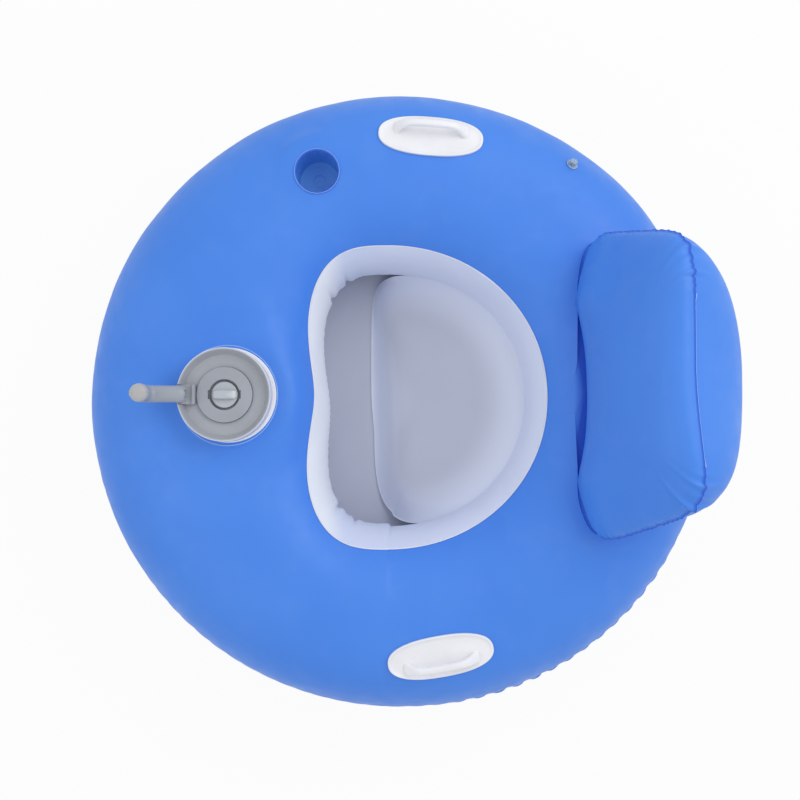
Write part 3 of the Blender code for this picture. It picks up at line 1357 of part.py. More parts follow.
def build_tiller(grey, dark, steel, axis):
    """Tiller: two half shells split along the middle, with the switch inside and the button in the grip."""
    pivot = empty("tiller_pivot", (-PIVOT_OUT, 0, PIVOT_Z), axis)
    grip_x = -(GRIP_OUT - PIVOT_OUT)
    path = tiller_path()
    button_z = BUTTON_RISE - PIVOT_RISE
    hollow_path = [p for p in path[5:] if p[1] < GRIP_TOP_RISE - PIVOT_RISE - GRIP_CROWN + 0.001]
    half_w, half_h = BUTTON_WIDTH / 2, BUTTON_HEIGHT / 2
    for word, side in (("right", 1), ("left", -1)):
        shell = place(f"tiller_{word}_shell", swept(path), grey, pivot)
        hollow = cutter(f"cut_{word}_hollow", swept(hollow_path, SHELL_WALL, 10), pivot)
        boolean(shell, hollow)
        far = -side * 0.05
        near = side * GAP / 2
        low_y, high_y = min(far, near), max(far, near)
        split = cutter(f"cut_{word}_split", block((grip_x * 2, low_y, -TUBE_R * 2), (TUBE_R * 2, high_y, GRIP_TOP_RISE)), pivot)
        boolean(shell, split)
        slot_half = TONGUE_HALF + 0.0004
        slot = block(
            (-TONGUE_R - 0.0007, -slot_half, -TUBE_R - 0.002),
            (TUBE_R + 0.002, slot_half, TONGUE_R + 0.0005),
        )
        boolean(shell, cutter(f"cut_{word}_slot", slot, pivot))
        hole = PIN_R + GAP
        reach = TUBE_R - 0.0017 + GAP
        bore = turned([(0, -reach), (hole, -reach), (hole, reach), (0, reach)], 16, "Y")
        boolean(shell, cutter(f"cut_{word}_pin", bore, pivot))
        window = block(
            (grip_x - GRIP_R - 0.01, -half_w - GAP, button_z - half_h - GAP),
            (grip_x, half_w + GAP, button_z + half_h + GAP),
        )
        boolean(shell, cutter(f"cut_{word}_window", window, pivot))

    inner = GRIP_R - 0.0005 - SHELL_WALL
    switch_half = 0.0038
    back = grip_x + math.sqrt(inner**2 - switch_half**2) - 3 * GAP
    face = back - SWITCH_DEPTH
    switch = place(
        "microswitch",
        block((face, -switch_half, button_z - 0.008), (back, switch_half, button_z + 0.008), 0.0005),
        dark,
        pivot,
    )
    well = turned([(0, -0.002), (0.0023, -0.002), (0.0023, 0.0045), (0, 0.0045)], 16, "X", (face, 0, button_z))
    boolean(switch, cutter("cut_plunger_well", well, pivot))

    press = empty("button_axis", (0, 0, 0), pivot)
    skin = grip_x - GRIP_R - 0.0004
    rear = skin + 0.0085
    button = place(
        "control_button",
        block((skin - 0.0020, -half_w, button_z - half_h), (rear, half_w, button_z + half_h), 0.0014),
        dark,
        press,
    )
    flange = block((rear - 0.0014, -half_w - 0.0014, button_z - half_h - 0.0016),
                   (rear + 0.0006, half_w + 0.0014, button_z + half_h + 0.0016))
    boolean(button, cutter("form_button_flange", flange, press), "UNION")
    plunger_low = rear + 0.0006 + GAP
    plunger = [(0.0, plunger_low), (0.0019, plunger_low), (0.0019, face + 0.0012), (0.0, face + 0.0012)]
    place("switch_plunger", turned(plunger, 12, "X", (0, 0, button_z)), steel, press)


def main():
    """Build the whole chair."""
    clear_scene()
    blue = material("pvc_blue", (0.080, 0.253, 0.820), 0.42)
    dark_blue = material("pvc_dark_blue", (0.042, 0.130, 0.470), 0.35)
    pale_blue = material("pvc_pale_blue", (0.30, 0.50, 0.86), 0.40)
    white = material("pvc_white", (0.72, 0.74, 0.82), 0.45)
    handle_white = material("moulded_white", (0.78, 0.78, 0.80), 0.35)
    clear = material("valve_clear", (0.55, 0.66, 0.80), 0.25)
    grey = material("abs_grey", (0.34, 0.35, 0.38), 0.42)
    dark = material("rubber_dark", (0.05, 0.05, 0.055), 0.60)
    grille = material("grille_grey", (0.16, 0.17, 0.18), 0.45)
    steel = material("bright_steel", (0.62, 0.63, 0.65), 0.25, 1.0)
    cell = material("cell_jacket", (0.16, 0.17, 0.19), 0.35, 0.6)
    copper = material("armature_copper", (0.45, 0.27, 0.17), 0.40, 0.8)
    ferrite = material("ferrite", (0.06, 0.06, 0.07), 0.55)

    ring = build_float(blue, white)
    build_cushion(white)
    pillow = build_backrest(blue)
    build_cup(dark_blue, ring)
    right_frame = surface_frame(RIGHT_HANDLE_X, RIGHT_HANDLE_Y, -RIGHT_HANDLE_TURN)
    left_frame = surface_frame(LEFT_HANDLE_X, -LEFT_HANDLE_Y, LEFT_HANDLE_TURN)
    build_handle("right_grab_handle", 1, right_frame, handle_white, ring)
    build_handle("left_grab_handle", -1, left_frame, handle_white, ring)
    build_valve("ring_valve", surface_frame(VALVE_X, VALVE_Y, math.radians(200)), clear, ring)
    build_valve("backrest_valve", pillow_frame(BACK_VALVE_TURN, BACK_VALVE_PHASE), clear, pillow)
    build_sleeve(handle_white, pale_blue)

    axis = empty("drive_axis", (DRIVE_X, 0, 0))
    build_housing(grey, dark, axis)
    build_battery(grey, steel, cell, axis)
    build_lid(grey, dark, steel, axis)
    build_duct(grille, grey, axis)
    build_motor(grey, steel, dark, ferrite, axis)
    build_propeller(grey, steel, copper, axis)
    build_bracket(grey, steel, axis)
    build_tiller(grey, dark, steel, axis)


main()
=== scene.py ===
"""Looks of the motorized float chair: ring, seat well, backrest, fittings and drive unit.

Metres, +Z up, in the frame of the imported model. -X is the front, where the drive unit stands,
+X is the backrest and +Y is the rider's right. The origin is below the ring centre, under the
drive's foot.
"""

import json
import logging
import math
from collections.abc import Sequence
from dataclasses import dataclass
from enum import Enum

import bmesh
import bpy
import numpy as np
from mathutils import Matrix, Vector
from mathutils.kdtree import KDTree


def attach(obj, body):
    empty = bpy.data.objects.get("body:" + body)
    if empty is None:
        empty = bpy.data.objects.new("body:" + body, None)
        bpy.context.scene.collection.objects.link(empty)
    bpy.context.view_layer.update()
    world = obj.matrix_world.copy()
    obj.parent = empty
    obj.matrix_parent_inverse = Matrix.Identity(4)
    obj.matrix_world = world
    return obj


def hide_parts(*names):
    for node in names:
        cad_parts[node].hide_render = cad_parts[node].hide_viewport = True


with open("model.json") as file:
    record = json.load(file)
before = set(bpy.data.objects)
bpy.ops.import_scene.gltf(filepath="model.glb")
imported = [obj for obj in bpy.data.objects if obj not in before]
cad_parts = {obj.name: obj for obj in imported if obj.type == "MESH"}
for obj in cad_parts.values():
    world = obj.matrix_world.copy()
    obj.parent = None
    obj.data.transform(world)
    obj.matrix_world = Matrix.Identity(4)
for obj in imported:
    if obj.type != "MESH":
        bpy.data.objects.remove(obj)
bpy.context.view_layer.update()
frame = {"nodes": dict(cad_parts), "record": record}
LOG = logging.getLogger("float_chair")

Array = np.ndarray
Colour = tuple[float, float, float]
Point = tuple[float, float, float]
Pair = tuple[float, float]
Piece = bpy.types.Object
Mesh = bpy.types.Mesh
Material = bpy.types.Material
Node = bpy.types.Node
Socket = bpy.types.NodeSocket

NO_EDGES = 180.0
"""Shading angle in degrees at which no edge is sharp."""


def srgb(red: float, green: float, blue: float) -> Colour:
    """Linear colour of a 0-255 screen colour."""
    values = np.array((red, green, blue)) / 255
    linear = np.where(values <= 0.04045, values / 12.92, ((values + 0.055) / 1.055) ** 2.4)
    return tuple(float(v) for v in linear)


# Shapes in number form


def smooth(value: Array | float) -> Array:
    """Ease from 0 to 1."""
    value = np.clip(value, 0.0, 1.0)
    return value * value * (3 - 2 * value)


def hump(away: Array, width: float | Array = 1.0) -> Array:
    """A bell curve: 1 at no distance away, fading over a width."""
    return np.exp(-((away / width) ** 2))


def around(count: int) -> Array:
    """Angles in radians that step evenly once round."""
    return np.linspace(0, 2 * math.pi, count, endpoint=False)


def eased(count: int) -> Array:
    """Shares from 0 to 1, closer together at both ends."""
    return (1 - np.cos(np.linspace(0, math.pi, count))) / 2


def signed_power(value: Array, power: float) -> Array:
    """A power that keeps the sign."""
    return np.sign(value) * np.abs(value) ** power


def superellipse(turn: Array, half_x: float, half_y: float, power: float | Array) -> Array:
    """Distance from the centre to a superellipse at each angle.

    Args:
        turn: Angles in radians.
        half_x: Half width along X.
        half_y: Half width along Y.
        power: 2 for an ellipse, more for squarer corners.

    Returns:
        One distance for each angle.
    """
    across = np.abs(np.cos(turn)) / half_x
    along_y = np.abs(np.sin(turn)) / half_y
    return (across**power + along_y**power) ** (-1 / power)


def bezel(turn: Array, halves: Pair, power: float) -> Array:
    """Plan outline of an oval: x and y for each angle."""
    reach = superellipse(turn, *halves, power)
    return np.stack([reach * np.cos(turn), reach * np.sin(turn)], -1)


def levelled(plan: Array, z: float) -> Array:
    """Points of a plan outline at a height."""
    return np.concatenate([plan, np.full((len(plan), 1), z)], 1)


def circle(radius: float, centre: Point, count: int = 128) -> Array:
    """Points of a level circle."""
    turn = around(count)
    return np.stack([np.cos(turn), np.sin(turn), 0 * turn], -1) * radius + np.array(centre)


def ripple(points: Array, wave: float, seed: int) -> Array:
    """Soft unevenness of an inflated film, about -1 to 1, as a sum of ten plane waves.

    Args:
        points: Places, in metres, in the last axis.
        wave: Typical length of a wave in metres.
        seed: Fixed seed of the wave directions.

    Returns:
        One value for each place.
    """
    rng = np.random.default_rng(seed)
    total = np.zeros(points.shape[:-1])
    for _ in range(10):
        heading = rng.normal(size=3)
        heading *= 2 * math.pi / (wave * rng.uniform(0.7, 1.5) * np.linalg.norm(heading))
        total += np.sin(points @ heading + rng.uniform(0, 2 * math.pi))
    return total / 3.2


def normals_of(rows: Array, wrap: tuple[bool, bool] = (True, True)) -> Array:
    """Unit normals of a grid of points, whose two directions close on themselves or not.

    Args:
        rows: Points in an n by m by 3 array.
        wrap: Whether each direction is closed.

    Returns:
        An array of the same shape.
    """
    steps = []
    for axis, closed in enumerate(wrap):
        if closed:
            steps.append(np.roll(rows, -1, axis) - np.roll(rows, 1, axis))
        else:
            steps.append(np.gradient(rows, axis=axis))
    normal = np.cross(steps[1], steps[0])
    return normal / np.maximum(np.linalg.norm(normal, axis=-1, keepdims=True), 1e-12)


def along(rows: Array, zero: int) -> Array:
    """Distance along each row from its point number zero, negative before it."""
    lengths = np.linalg.norm(np.diff(rows, axis=1), axis=-1)
    run = np.concatenate([np.zeros((len(rows), 1)), np.cumsum(lengths, 1)], 1)
    return run - run[:, zero : zero + 1]


def grid_faces(n: int, m: int, wrap_n: bool, wrap_m: bool) -> list[list[int]]:
    """Quads of a grid of n rows with m points each.

    Args:
        n: Number of rows.
        m: Number of points in a row.
        wrap_n: Whether the last row joins the first.
        wrap_m: Whether each row closes on itself.

    Returns:
        Four point numbers for each face.
    """
    i = np.arange(n if wrap_n else n - 1)[:, None]
    j = np.arange(m if wrap_m else m - 1)[None, :]
    a, b = i * m + j, (i + 1) % n * m + j
    c, d = (i + 1) % n * m + (j + 1) % m, i * m + (j + 1) % m
    return np.stack([a, b, c, d], -1).reshape(-1, 4).tolist()


def moved(base: Point, step: Sequence[float]) -> Point:
    """A place that is given from another one."""
    return (base[0] + step[0], base[1] + step[1], base[2] + step[2])


def rounded(profile: Sequence[Pair], radii: dict[int, float]) -> list[Pair]:
    """A profile that closes on itself, with its numbered corners rounded by the given radii.

    Args:
        profile: Corners in order.
        radii: Rounding of each corner that has one.

    Returns:
        The finer profile.
    """
    made: list[Pair] = []
    corners = [np.array(p, float) for p in profile]
    for k, corner in enumerate(corners):
        if k not in radii:
            made.append(tuple(corner.tolist()))
            continue
        sides = []
        for other in (corners[k - 1], corners[(k + 1) % len(corners)]):
            gap = other - corner
            reach = min(radii[k], 0.48 * float(np.linalg.norm(gap)))
            sides.append(corner + gap / np.linalg.norm(gap) * reach)
        for share in (0.0, 0.2, 0.4, 0.6, 0.8, 1.0):
            rest = 1 - share
            spot = rest**2 * sides[0] + 2 * share * rest * corner + share**2 * sides[1]
            made.append(tuple(spot.tolist()))
    return made


# Meshes


def new_object(name: str, mesh: Mesh) -> Piece:
    """An object of a mesh, at the origin, in the scene."""
    obj = bpy.data.objects.new(name, mesh)
    bpy.context.scene.collection.objects.link(obj)
    return obj


def shade(mesh: Mesh, angle: float) -> None:
    """Smooth shading, apart from edges sharper than an angle in degrees."""
    mesh.shade_smooth()
    if angle < NO_EDGES:
        mesh.set_sharp_from_angle(angle=math.radians(angle))


def mesh_piece(name: str, points: Array, faces: list[list[int]], angle: float) -> Piece:
    """A closed mesh with its faces outward, of points in rows and the point numbers of faces.

    Args:
        name: Name of the piece.
        points: Places in metres, one in each row.
        faces: Point numbers of each face.
        angle: Edges sharper than this, in degrees, are shaded as edges.

    Returns:
        The new object.
    """
    mesh = bpy.data.meshes.new(name)
    mesh.from_pydata(points.reshape(-1, 3).tolist(), [], faces)
    body = bmesh.new()
    body.from_mesh(mesh)
    bmesh.ops.remove_doubles(body, verts=body.verts, dist=1e-6)
    bmesh.ops.recalc_face_normals(body, faces=body.faces)
    body.to_mesh(mesh)
    body.free()
    shade(mesh, angle)
    return new_object(name, mesh)


def spots_of(obj: Piece) -> Array:
    """Places of a piece's points, one in each row."""
    return np.array([vertex.co for vertex in obj.data.vertices])


def tag(obj: Piece, name: str, values: Array) -> None:
    """Store one number for each point of a piece, which its finish reads by name."""
    attribute = obj.data.attributes.new(name, "FLOAT", "POINT")
    attribute.data.foreach_set("value", np.asarray(values, np.float32))


def tag_nearest(obj: Piece, name: str, points: Array, values: Array) -> None:
    """Store for each point of a piece the value that belongs to the nearest of some places.

    Args:
        obj: The piece.
        name: Name of the value.
        points: Places that the values belong to.
        values: One value for each place.
    """
    tree = KDTree(len(points))
    for number, point in enumerate(points):
        tree.insert(point, number)
    tree.balance()
    tag(obj, name, np.array([values[tree.find(vertex.co)[1]] for vertex in obj.data.vertices]))


def lofted(name: str, rows: Array, closed: bool = False, angle: float = NO_EDGES) -> Piece:
    """A closed solid through sections that each close on themselves.

    Args:
        name: Name of the piece.
        rows: Sections in an n by m by 3 array.
        closed: Whether the last section joins the first. Otherwise both ends get a fan.
        angle: Shading angle in degrees.

    Returns:
        The new object.
    """
    n, m = rows.shape[:2]
    faces = grid_faces(n, m, closed, True)
    points = rows.reshape(-1, 3)
    if not closed:
        ends = np.stack([rows[0].mean(0), rows[-1].mean(0)])
        points = np.concatenate([points, ends])
        for row, centre in ((0, n * m), (n - 1, n * m + 1)):
            faces += [[row * m + j, row * m + (j + 1) % m, centre] for j in range(m)]
    return mesh_piece(name, points, faces, angle)


def turned(
    name: str, profile: Sequence[Pair], base: Point, steps: int, angle: float = 35.0
) -> Piece:
    """A solid of revolution about a vertical line.

    Args:
        name: Name of the piece.
        profile: Radius and height of each point, closing on itself.
        base: Foot of the axis.
        steps: Number of steps round the axis.
        angle: Shading angle in degrees.

    Returns:
        The new object.
    """
    outline = np.array(profile, float)
    turn = around(steps)[:, None]
    radius, high = outline[:, 0], outline[:, 1] + 0 * turn
    rows = np.stack([radius * np.cos(turn), radius * np.sin(turn), high], -1) + np.array(base)
    return mesh_piece(name, rows, grid_faces(steps, len(outline), True, True), angle)


def block(name: str, low: Point, high: Point) -> Piece:
    """A plain box between two corners, as a tool for cutting or joining."""
    plan = np.array([(low[0], low[1]), (high[0], low[1]), (high[0], high[1]), (low[0], high[1])])
    return lofted(name, np.stack([levelled(plan, low[2]), levelled(plan, high[2])]))


def settle(obj: Piece) -> None:
    """Turn what the modifiers of a piece make of it into its plain mesh."""
    mesh = bpy.data.meshes.new_from_object(obj.evaluated_get(bpy.context.evaluated_depsgraph_get()))
    obj.modifiers.clear()
    obj.data = mesh


def cut(obj: Piece, tools: Sequence[Piece], angle: float, act: str = "DIFFERENCE") -> None:
    """Take solids away from a piece, or add them to it with UNION, and delete them.

    Args:
        obj: The piece that is changed.
        tools: Solids to take away or to add.
        angle: Shading angle of the result in degrees.
        act: DIFFERENCE or UNION.
    """
    for tool in tools:
        modifier = obj.modifiers.new("cut", "BOOLEAN")
        modifier.object = tool
        modifier.operation = act
        modifier.solver = "MANIFOLD"
    settle(obj)
    shade(obj.data, angle)
    for tool in tools:
        bpy.data.objects.remove(tool)


# Node trees


class Nodes:
    """A node tree with a short way to add nodes and join them."""

    def __init__(self, tree: bpy.types.NodeTree) -> None:
        """Work on a tree."""
        self.tree = tree

    def feed(self, target: Socket, value: object) -> None:
        """Join a socket or a node's first output to an input, or give it a plain value.

        Args:
            target: The input.
            value: What it is given.
        """
        if isinstance(value, Node):
            value = value.outputs[0]
        if isinstance(value, Socket):
            self.tree.links.new(value, target)
        else:
            target.default_value = value

    def add(
        self, kind: str, inputs: dict[int | str, object] | None = None, **values: object
    ) -> Node:
        """Add a node with its properties, and give its inputs a value, a socket or a node.

        Args:
            kind: Type name of the node.
            inputs: What each input is given, by its name or number.
            values: Properties of the node.

        Returns:
            The new node.
        """
        node = self.tree.nodes.new(kind)
        for key, value in values.items():
            setattr(node, key, value)
        for key, value in (inputs or {}).items():
            self.feed(node.inputs[key], value)
        return node


class Growth(Nodes):
    """A Geometry Nodes tree with named inputs, whose result becomes a plain mesh."""

    def __init__(self, name: str, **kinds: str) -> None:
        """Start a tree with a geometry input and output, named inputs and the finish.

        Args:
            name: Name of the tree.
            kinds: Socket type of each input.
        """
        super().__init__(bpy.data.node_groups.new(name, "GeometryNodeTree"))
        sockets = self.tree.interface
        for word, kind in {"Geometry": "Geometry", **kinds, "Finish": "Material"}.items():
            sockets.new_socket(word, in_out="INPUT", socket_type=f"NodeSocket{kind}")
        sockets.new_socket("Geometry", in_out="OUTPUT", socket_type="NodeSocketGeometry")
        self.given = self.add("NodeGroupInput").outputs
        self.end = self.add("NodeGroupOutput")

    def close(self, geometry: Node) -> None:
        """End the tree: instances made real, shaded smooth and given the Finish input."""
        real = self.add("GeometryNodeRealizeInstances", {0: geometry})
        soft = self.add("GeometryNodeSetShadeSmooth", {0: real})
        paint = self.add("GeometryNodeSetMaterial", {0: soft, "Material": self.given["Finish"]})
        self.feed(self.end.inputs[0], paint)

    def apply(self, name: str, seed: Mesh, values: dict[str, object]) -> Piece:
        """Run the tree on a mesh and keep the result as a plain mesh.

        Args:
            name: Name of the new piece.
            seed: Mesh of points or edges that the tree starts from.
            values: Value of each named input.

        Returns:
            The new object.
        """
        obj = new_object(name, seed)
        modifier = obj.modifiers.new("growth", "NODES")
        modifier.node_group = self.tree
        for item in self.tree.interface.items_tree:
            if item.item_type == "SOCKET" and item.in_out == "INPUT" and item.name in values:
                modifier[item.identifier] = values[item.name]
        obj.update_tag()
        bpy.context.view_layer.update()
        settle(obj)
        obj.data.name = name
        return obj


def bead_growth() -> Growth:
    """Tree that sweeps an oval bead along the edges of a mesh, its flat side level.

    Returns:
        The tree, with Width, Height and Sides.
    """
    growth = Growth("bead_along_a_line", Width="Float", Height="Float", Sides="Int")
    given = growth.given
    line = growth.add("GeometryNodeMeshToCurve", {0: given["Geometry"]})
    level = growth.add("GeometryNodeSetCurveNormal", {0: line}, mode="Z_UP")
    ring = {"Resolution": given["Sides"], "Radius": 0.5}
    outline = growth.add("GeometryNodeCurvePrimitiveCircle", ring)
    size = growth.add("ShaderNodeCombineXYZ", {"X": given["Height"], "Y": given["Width"]})
    shape = growth.add("GeometryNodeTransform", {0: outline, "Scale": size})
    sweep = {"Curve": level, "Profile Curve": shape, "Fill Caps": True}
    growth.close(growth.add("GeometryNodeCurveToMesh", sweep))
    return growth


def stud_growth() -> Growth:
    """Tree that sets a domed stud on each point, turned by its facing and heading attributes.

    Returns:
        The tree, with Length, Radius and Height.
    """
    growth = Growth("studs_on_points", Radius="Float", Length="Float", Height="Float")
    given = growth.given
    ball = growth.add("GeometryNodeMeshUVSphere", {"Segments": 12, "Rings": 6, "Radius": 1.0})
    halves = {"X": given["Length"], "Y": given["Radius"], "Z": given["Height"]}
    size = growth.add("ShaderNodeCombineXYZ", halves)
    facing, heading = (
        growth.add("GeometryNodeInputNamedAttribute", {"Name": name}, data_type="FLOAT_VECTOR")
        for name in ("facing", "heading")
    )
    align = "FunctionNodeAlignRotationToVector"
    stand = growth.add(align, {"Vector": facing}, axis="Z")
    twist = growth.add(align, {"Rotation": stand, "Vector": heading}, axis="X", pivot_axis="Z")
    spread = {"Points": given["Geometry"], "Instance": ball, "Rotation": twist, "Scale": size}
    growth.close(growth.add("GeometryNodeInstanceOnPoints", spread))
    return growth


def line_mesh(name: str, points: Array, closed: bool) -> Mesh:
    """Mesh of edges through points, for a bead to follow.

    Args:
        name: Name of the mesh.
        points: Places in order.
        closed: Whether the last one joins the first.

    Returns:
        The mesh.
    """
    count = len(points)
    edges = [(k, (k + 1) % count) for k in range(count if closed else count - 1)]
    mesh = bpy.data.meshes.new(name)
    mesh.from_pydata(points.tolist(), edges, [])
    return mesh


def point_mesh(name: str, points: Array, facing: Array, heading: Array) -> Mesh:
    """Mesh of loose points that carry the directions in which a stud stands and lies.

    Args:
        name: Name of the mesh.
        points: Place of each stud.
        facing: Direction in which it stands.
        heading: Direction of its length.

    Returns:
        The mesh.
    """
    mesh = bpy.data.meshes.new(name)
    mesh.from_pydata(points.tolist(), [], [])
    for key, values in (("facing", facing), ("heading", heading)):
        attribute = mesh.attributes.new(key, "FLOAT_VECTOR", "POINT")
        attribute.data.foreach_set("vector", np.asarray(values, np.float32).ravel())
    return mesh


# Finishes


def scaled(colour: Colour, factor: float, more: float = 0.0) -> Colour:
    """A colour times a factor, with some white added."""
    return tuple(factor * c + more for c in colour)


class Shader(Nodes):
    """The node tree of one material."""

    def __init__(self, name: str, roughness: float, metallic: float = 0.0) -> None:
        """Start a material with its Principled shader and plain values.

        Args:
            name: Name of the material.
            roughness: Its roughness.
            metallic: 1 for metal.
        """
        self.material = bpy.data.materials.new(name)
        self.material.use_nodes = True
        super().__init__(self.material.node_tree)
        self.surface = self.tree.nodes["Principled BSDF"]
        self.base = roughness
        self.give({"Roughness": roughness, "Metallic": metallic})
        self.place = self.add("ShaderNodeTexCoord").outputs["Object"]

    def give(self, values: dict[str, object]) -> None:
        """Give inputs of the surface a value or a socket."""
        for key, value in values.items():
            self.feed(self.surface.inputs[key], value)

    def noise(self, wave: float, detail: float = 2.0, stretch: Point = (1, 1, 1)) -> Socket:
        """Noise over the piece, whose largest features are a wave long, in metres.

        Args:
            wave: Length of a wave.
            detail: Number of finer layers.
            stretch: Factor on each axis.

        Returns:
            The socket of the noise value.
        """
        scale = tuple(s / wave for s in stretch)
        mapping = self.add("ShaderNodeMapping", {"Vector": self.place, "Scale": scale})
        values = {"Vector": mapping, "Scale": 1.0, "Detail": detail}
        return self.add("ShaderNodeTexNoise", values).outputs["Fac"]

    def spread(
        self, source: Socket, low: float, high: float, start: float = 0.3, stop: float = 0.7
    ) -> Socket:
        """Map a value from the range start to stop onto low to high, clamped."""
        ends = {"From Min": start, "From Max": stop, "To Min": low, "To Max": high}
        return self.add("ShaderNodeMapRange", {"Value": source, **ends}).outputs[0]

    def mix(self, factor: Socket, first: Colour | Socket, second: Colour) -> Socket:
        """Blend two colours, the first of which may be a socket."""
        if not isinstance(first, Socket):
            first = (*first, 1.0)
        values = {0: factor, 6: first, 7: (*second, 1.0)}
        return self.add("ShaderNodeMix", values, data_type="RGBA").outputs[2]

    def marked(self, name: str) -> Socket:
        """Value that the points of the piece carry under a name."""
        return self.add("ShaderNodeAttribute", attribute_name=name).outputs["Fac"]

    def rough(
        self, wave: float, detail: float, down: float, up: float, stretch: Point = (1, 1, 1)
    ) -> None:
        """Vary the roughness by a noise, so far down and so far up."""
        noise = self.noise(wave, detail, stretch)
        self.give({"Roughness": self.spread(noise, self.base - down, self.base + up)})

    def bump(self, height: Socket, distance: float, strength: float) -> None:
        """Raise the surface by a height pattern, on top of any earlier one.

        Args:
            height: Socket of the pattern.
            distance: Height of the pattern in metres.
            strength: Share of it that shows.
        """
        values = {"Strength": strength, "Distance": distance, "Height": height}
        node = self.add("ShaderNodeBump", values)
        normal = self.surface.inputs["Normal"]
        if normal.is_linked:
            self.feed(node.inputs["Normal"], normal.links[0].from_socket)
        self.feed(normal, node)


@dataclass(frozen=True)
class Film:
    """Soft inflated film: matte grain, faint clouding, dust, fine creases, painted shade and light.
    """

    name: str
    colour: Colour
    second: Colour
    roughness: float = 0.46
    grain: float = 0.00010
    creases: float = 0.00045
    # deep: factor on the colour for painted shade where the crease mark is set.
    deep: Colour = (0.27, 0.42, 0.78)
    # rim: a lighter tone for painted light where the rim mark is set.
    rim: Colour | None = None

    def make(self) -> Material:
        """Build the material.

        Returns:
            The new material.
        """
        shader = Shader(self.name, self.roughness)
        clouds = shader.spread(shader.noise(0.22, 3.0), 0.0, 1.0)
        dust = shader.spread(shader.noise(0.05, 6.0), 0.0, 0.07, 0.52, 0.80)
        skin = shader.mix(clouds, self.colour, self.second)
        skin = shader.mix(dust, skin, scaled(self.colour, 0.65, 0.25))
        # Painted light: the rim mark blends in the lighter rim tone.
        if self.rim is not None:
            skin = shader.mix(shader.marked("rim"), skin, self.rim)
        # Painted shade: the crease mark darkens the film towards the deep colour.
        deep = tuple(c * d for c, d in zip(self.colour, self.deep))
        skin = shader.mix(shader.marked("crease_shade"), skin, deep)
        shader.rough(0.030, 5.0, 0.06, 0.08)
        shader.bump(shader.noise(0.0016, 3.0), self.grain, 0.55)
        shader.bump(shader.noise(0.045, 2.0, (1.0, 1.0, 1.6)), self.creases, 0.5)
        shader.give({"Base Color": skin, "IOR": 1.52, "Specular IOR Level": 0.42})
        return shader.material


@dataclass(frozen=True)
class Plastic:
    """Hard plastic out of a mould: spark-eroded grain, slight flow clouding, handling marks,
    painted light.
    """

    name: str
    colour: Colour
    roughness: float = 0.42
    grain: float = 0.00006
    wear: float = 0.10
    coat: float = 0.0
    # tip: second tone for painted light or a painted highlight, blended in by the tip mark.
    tip: Colour | None = None

    def make(self) -> Material:
        """Build the material.

        Returns:
            The new material.
        """
        shader = Shader(self.name, self.roughness)
        flow = shader.spread(shader.noise(0.060, 3.0, (1.0, 1.0, 0.4)), 0.0, 1.0)
        marks = shader.noise(0.009, 8.0, (0.35, 1.6, 1.0))
        scuff = shader.spread(marks, 0.0, self.wear, 0.58, 0.78)
        skin = shader.mix(flow, self.colour, scaled(self.colour, 0.91))
        skin = shader.mix(scuff, skin, scaled(self.colour, 0.6, 0.32))
        # Painted light: the tip mark blends the second tone in where a piece tags it.
        if self.tip is not None:
            skin = shader.mix(shader.marked("tip"), skin, self.tip)
        shader.rough(0.014, 5.0, 0.07, 0.09)
        shader.bump(shader.noise(0.0009), self.grain, 0.7)
        shader.give({"Base Color": skin})
        if self.coat:
            shader.give({"Coat Weight": self.coat, "Coat Roughness": 0.18})
        return shader.material


@dataclass(frozen=True)
class ClearVinyl:
    """Flexible see-through valve plastic, milky where it is thick."""

    name: str
    colour: Colour
    roughness: float = 0.22
    clearness: float = 0.45

    def make(self) -> Material:
        """Build the material.

        Returns:
            The new material.
        """
        shader = Shader(self.name, self.roughness)
        haze = shader.spread(shader.noise(0.006, 3.0), 0.0, 1.0)
        skin = shader.mix(haze, self.colour, scaled(self.colour, 0.85, 0.12))
        shader.rough(0.003, 4.0, 0.0, 0.15)
        shader.bump(shader.noise(0.0018), 0.00004, 0.6)
        shader.give({"Base Color": skin, "Transmission Weight": self.clearness, "IOR": 1.46})
        return shader.material


@dataclass(frozen=True)
class Metal:
    """Machined or plated metal with fine lines and a few dull spots."""

    name: str
    colour: Colour
    roughness: float = 0.26
    lines: float = 0.00003

    def make(self) -> Material:
        """Build the material.

        Returns:
            The new material.
        """
        shader = Shader(self.name, self.roughness, 1.0)
        dull = shader.spread(shader.noise(0.012, 5.0), 0.0, 0.5, 0.5, 0.75)
        shader.give({"Base Color": shader.mix(dull, self.colour, scaled(self.colour, 0.72))})
        shader.rough(0.005, 4.0, 0.0, 0.16, (1, 1, 0.1))
        shader.bump(shader.noise(0.0008, 2.0, (0.1, 0.1, 3.0)), self.lines, 0.6)
        return shader.material


@dataclass(frozen=True)
class Rubber:
    """Dull dark seal rubber with a bloom of dust."""

    name: str
    colour: Colour
    roughness: float = 0.68

    def make(self) -> Material:
        """Build the material.

        Returns:
            The new material.
        """
        shader = Shader(self.name, self.roughness)
        bloom = shader.spread(shader.noise(0.010, 6.0), 0.0, 0.35, 0.45, 0.75)
        shader.give({"Base Color": shader.mix(bloom, self.colour, scaled(self.colour, 0.7, 0.06))})
        shader.rough(0.004, 4.0, 0.1, 0.1)
        shader.bump(shader.noise(0.0009, 3.0), 0.00007, 0.7)
        return shader.material


class Slot(Enum):
    """Material slots of the record, which group the pieces of one finish."""

    BLUE = "pvc_blue"
    DARK_BLUE = "pvc_dark_blue"
    PALE_BLUE = "pvc_pale_blue"
    WHITE = "pvc_white"
    HANDLE = "moulded_white"
    CLEAR = "valve_clear"
    GREY = "abs_grey"
    RUBBER = "rubber_dark"
    GRILLE = "grille_grey"
    STEEL = "bright_steel"
    CELL = "cell_jacket"
    COPPER = "armature_copper"
    FERRITE = "ferrite"


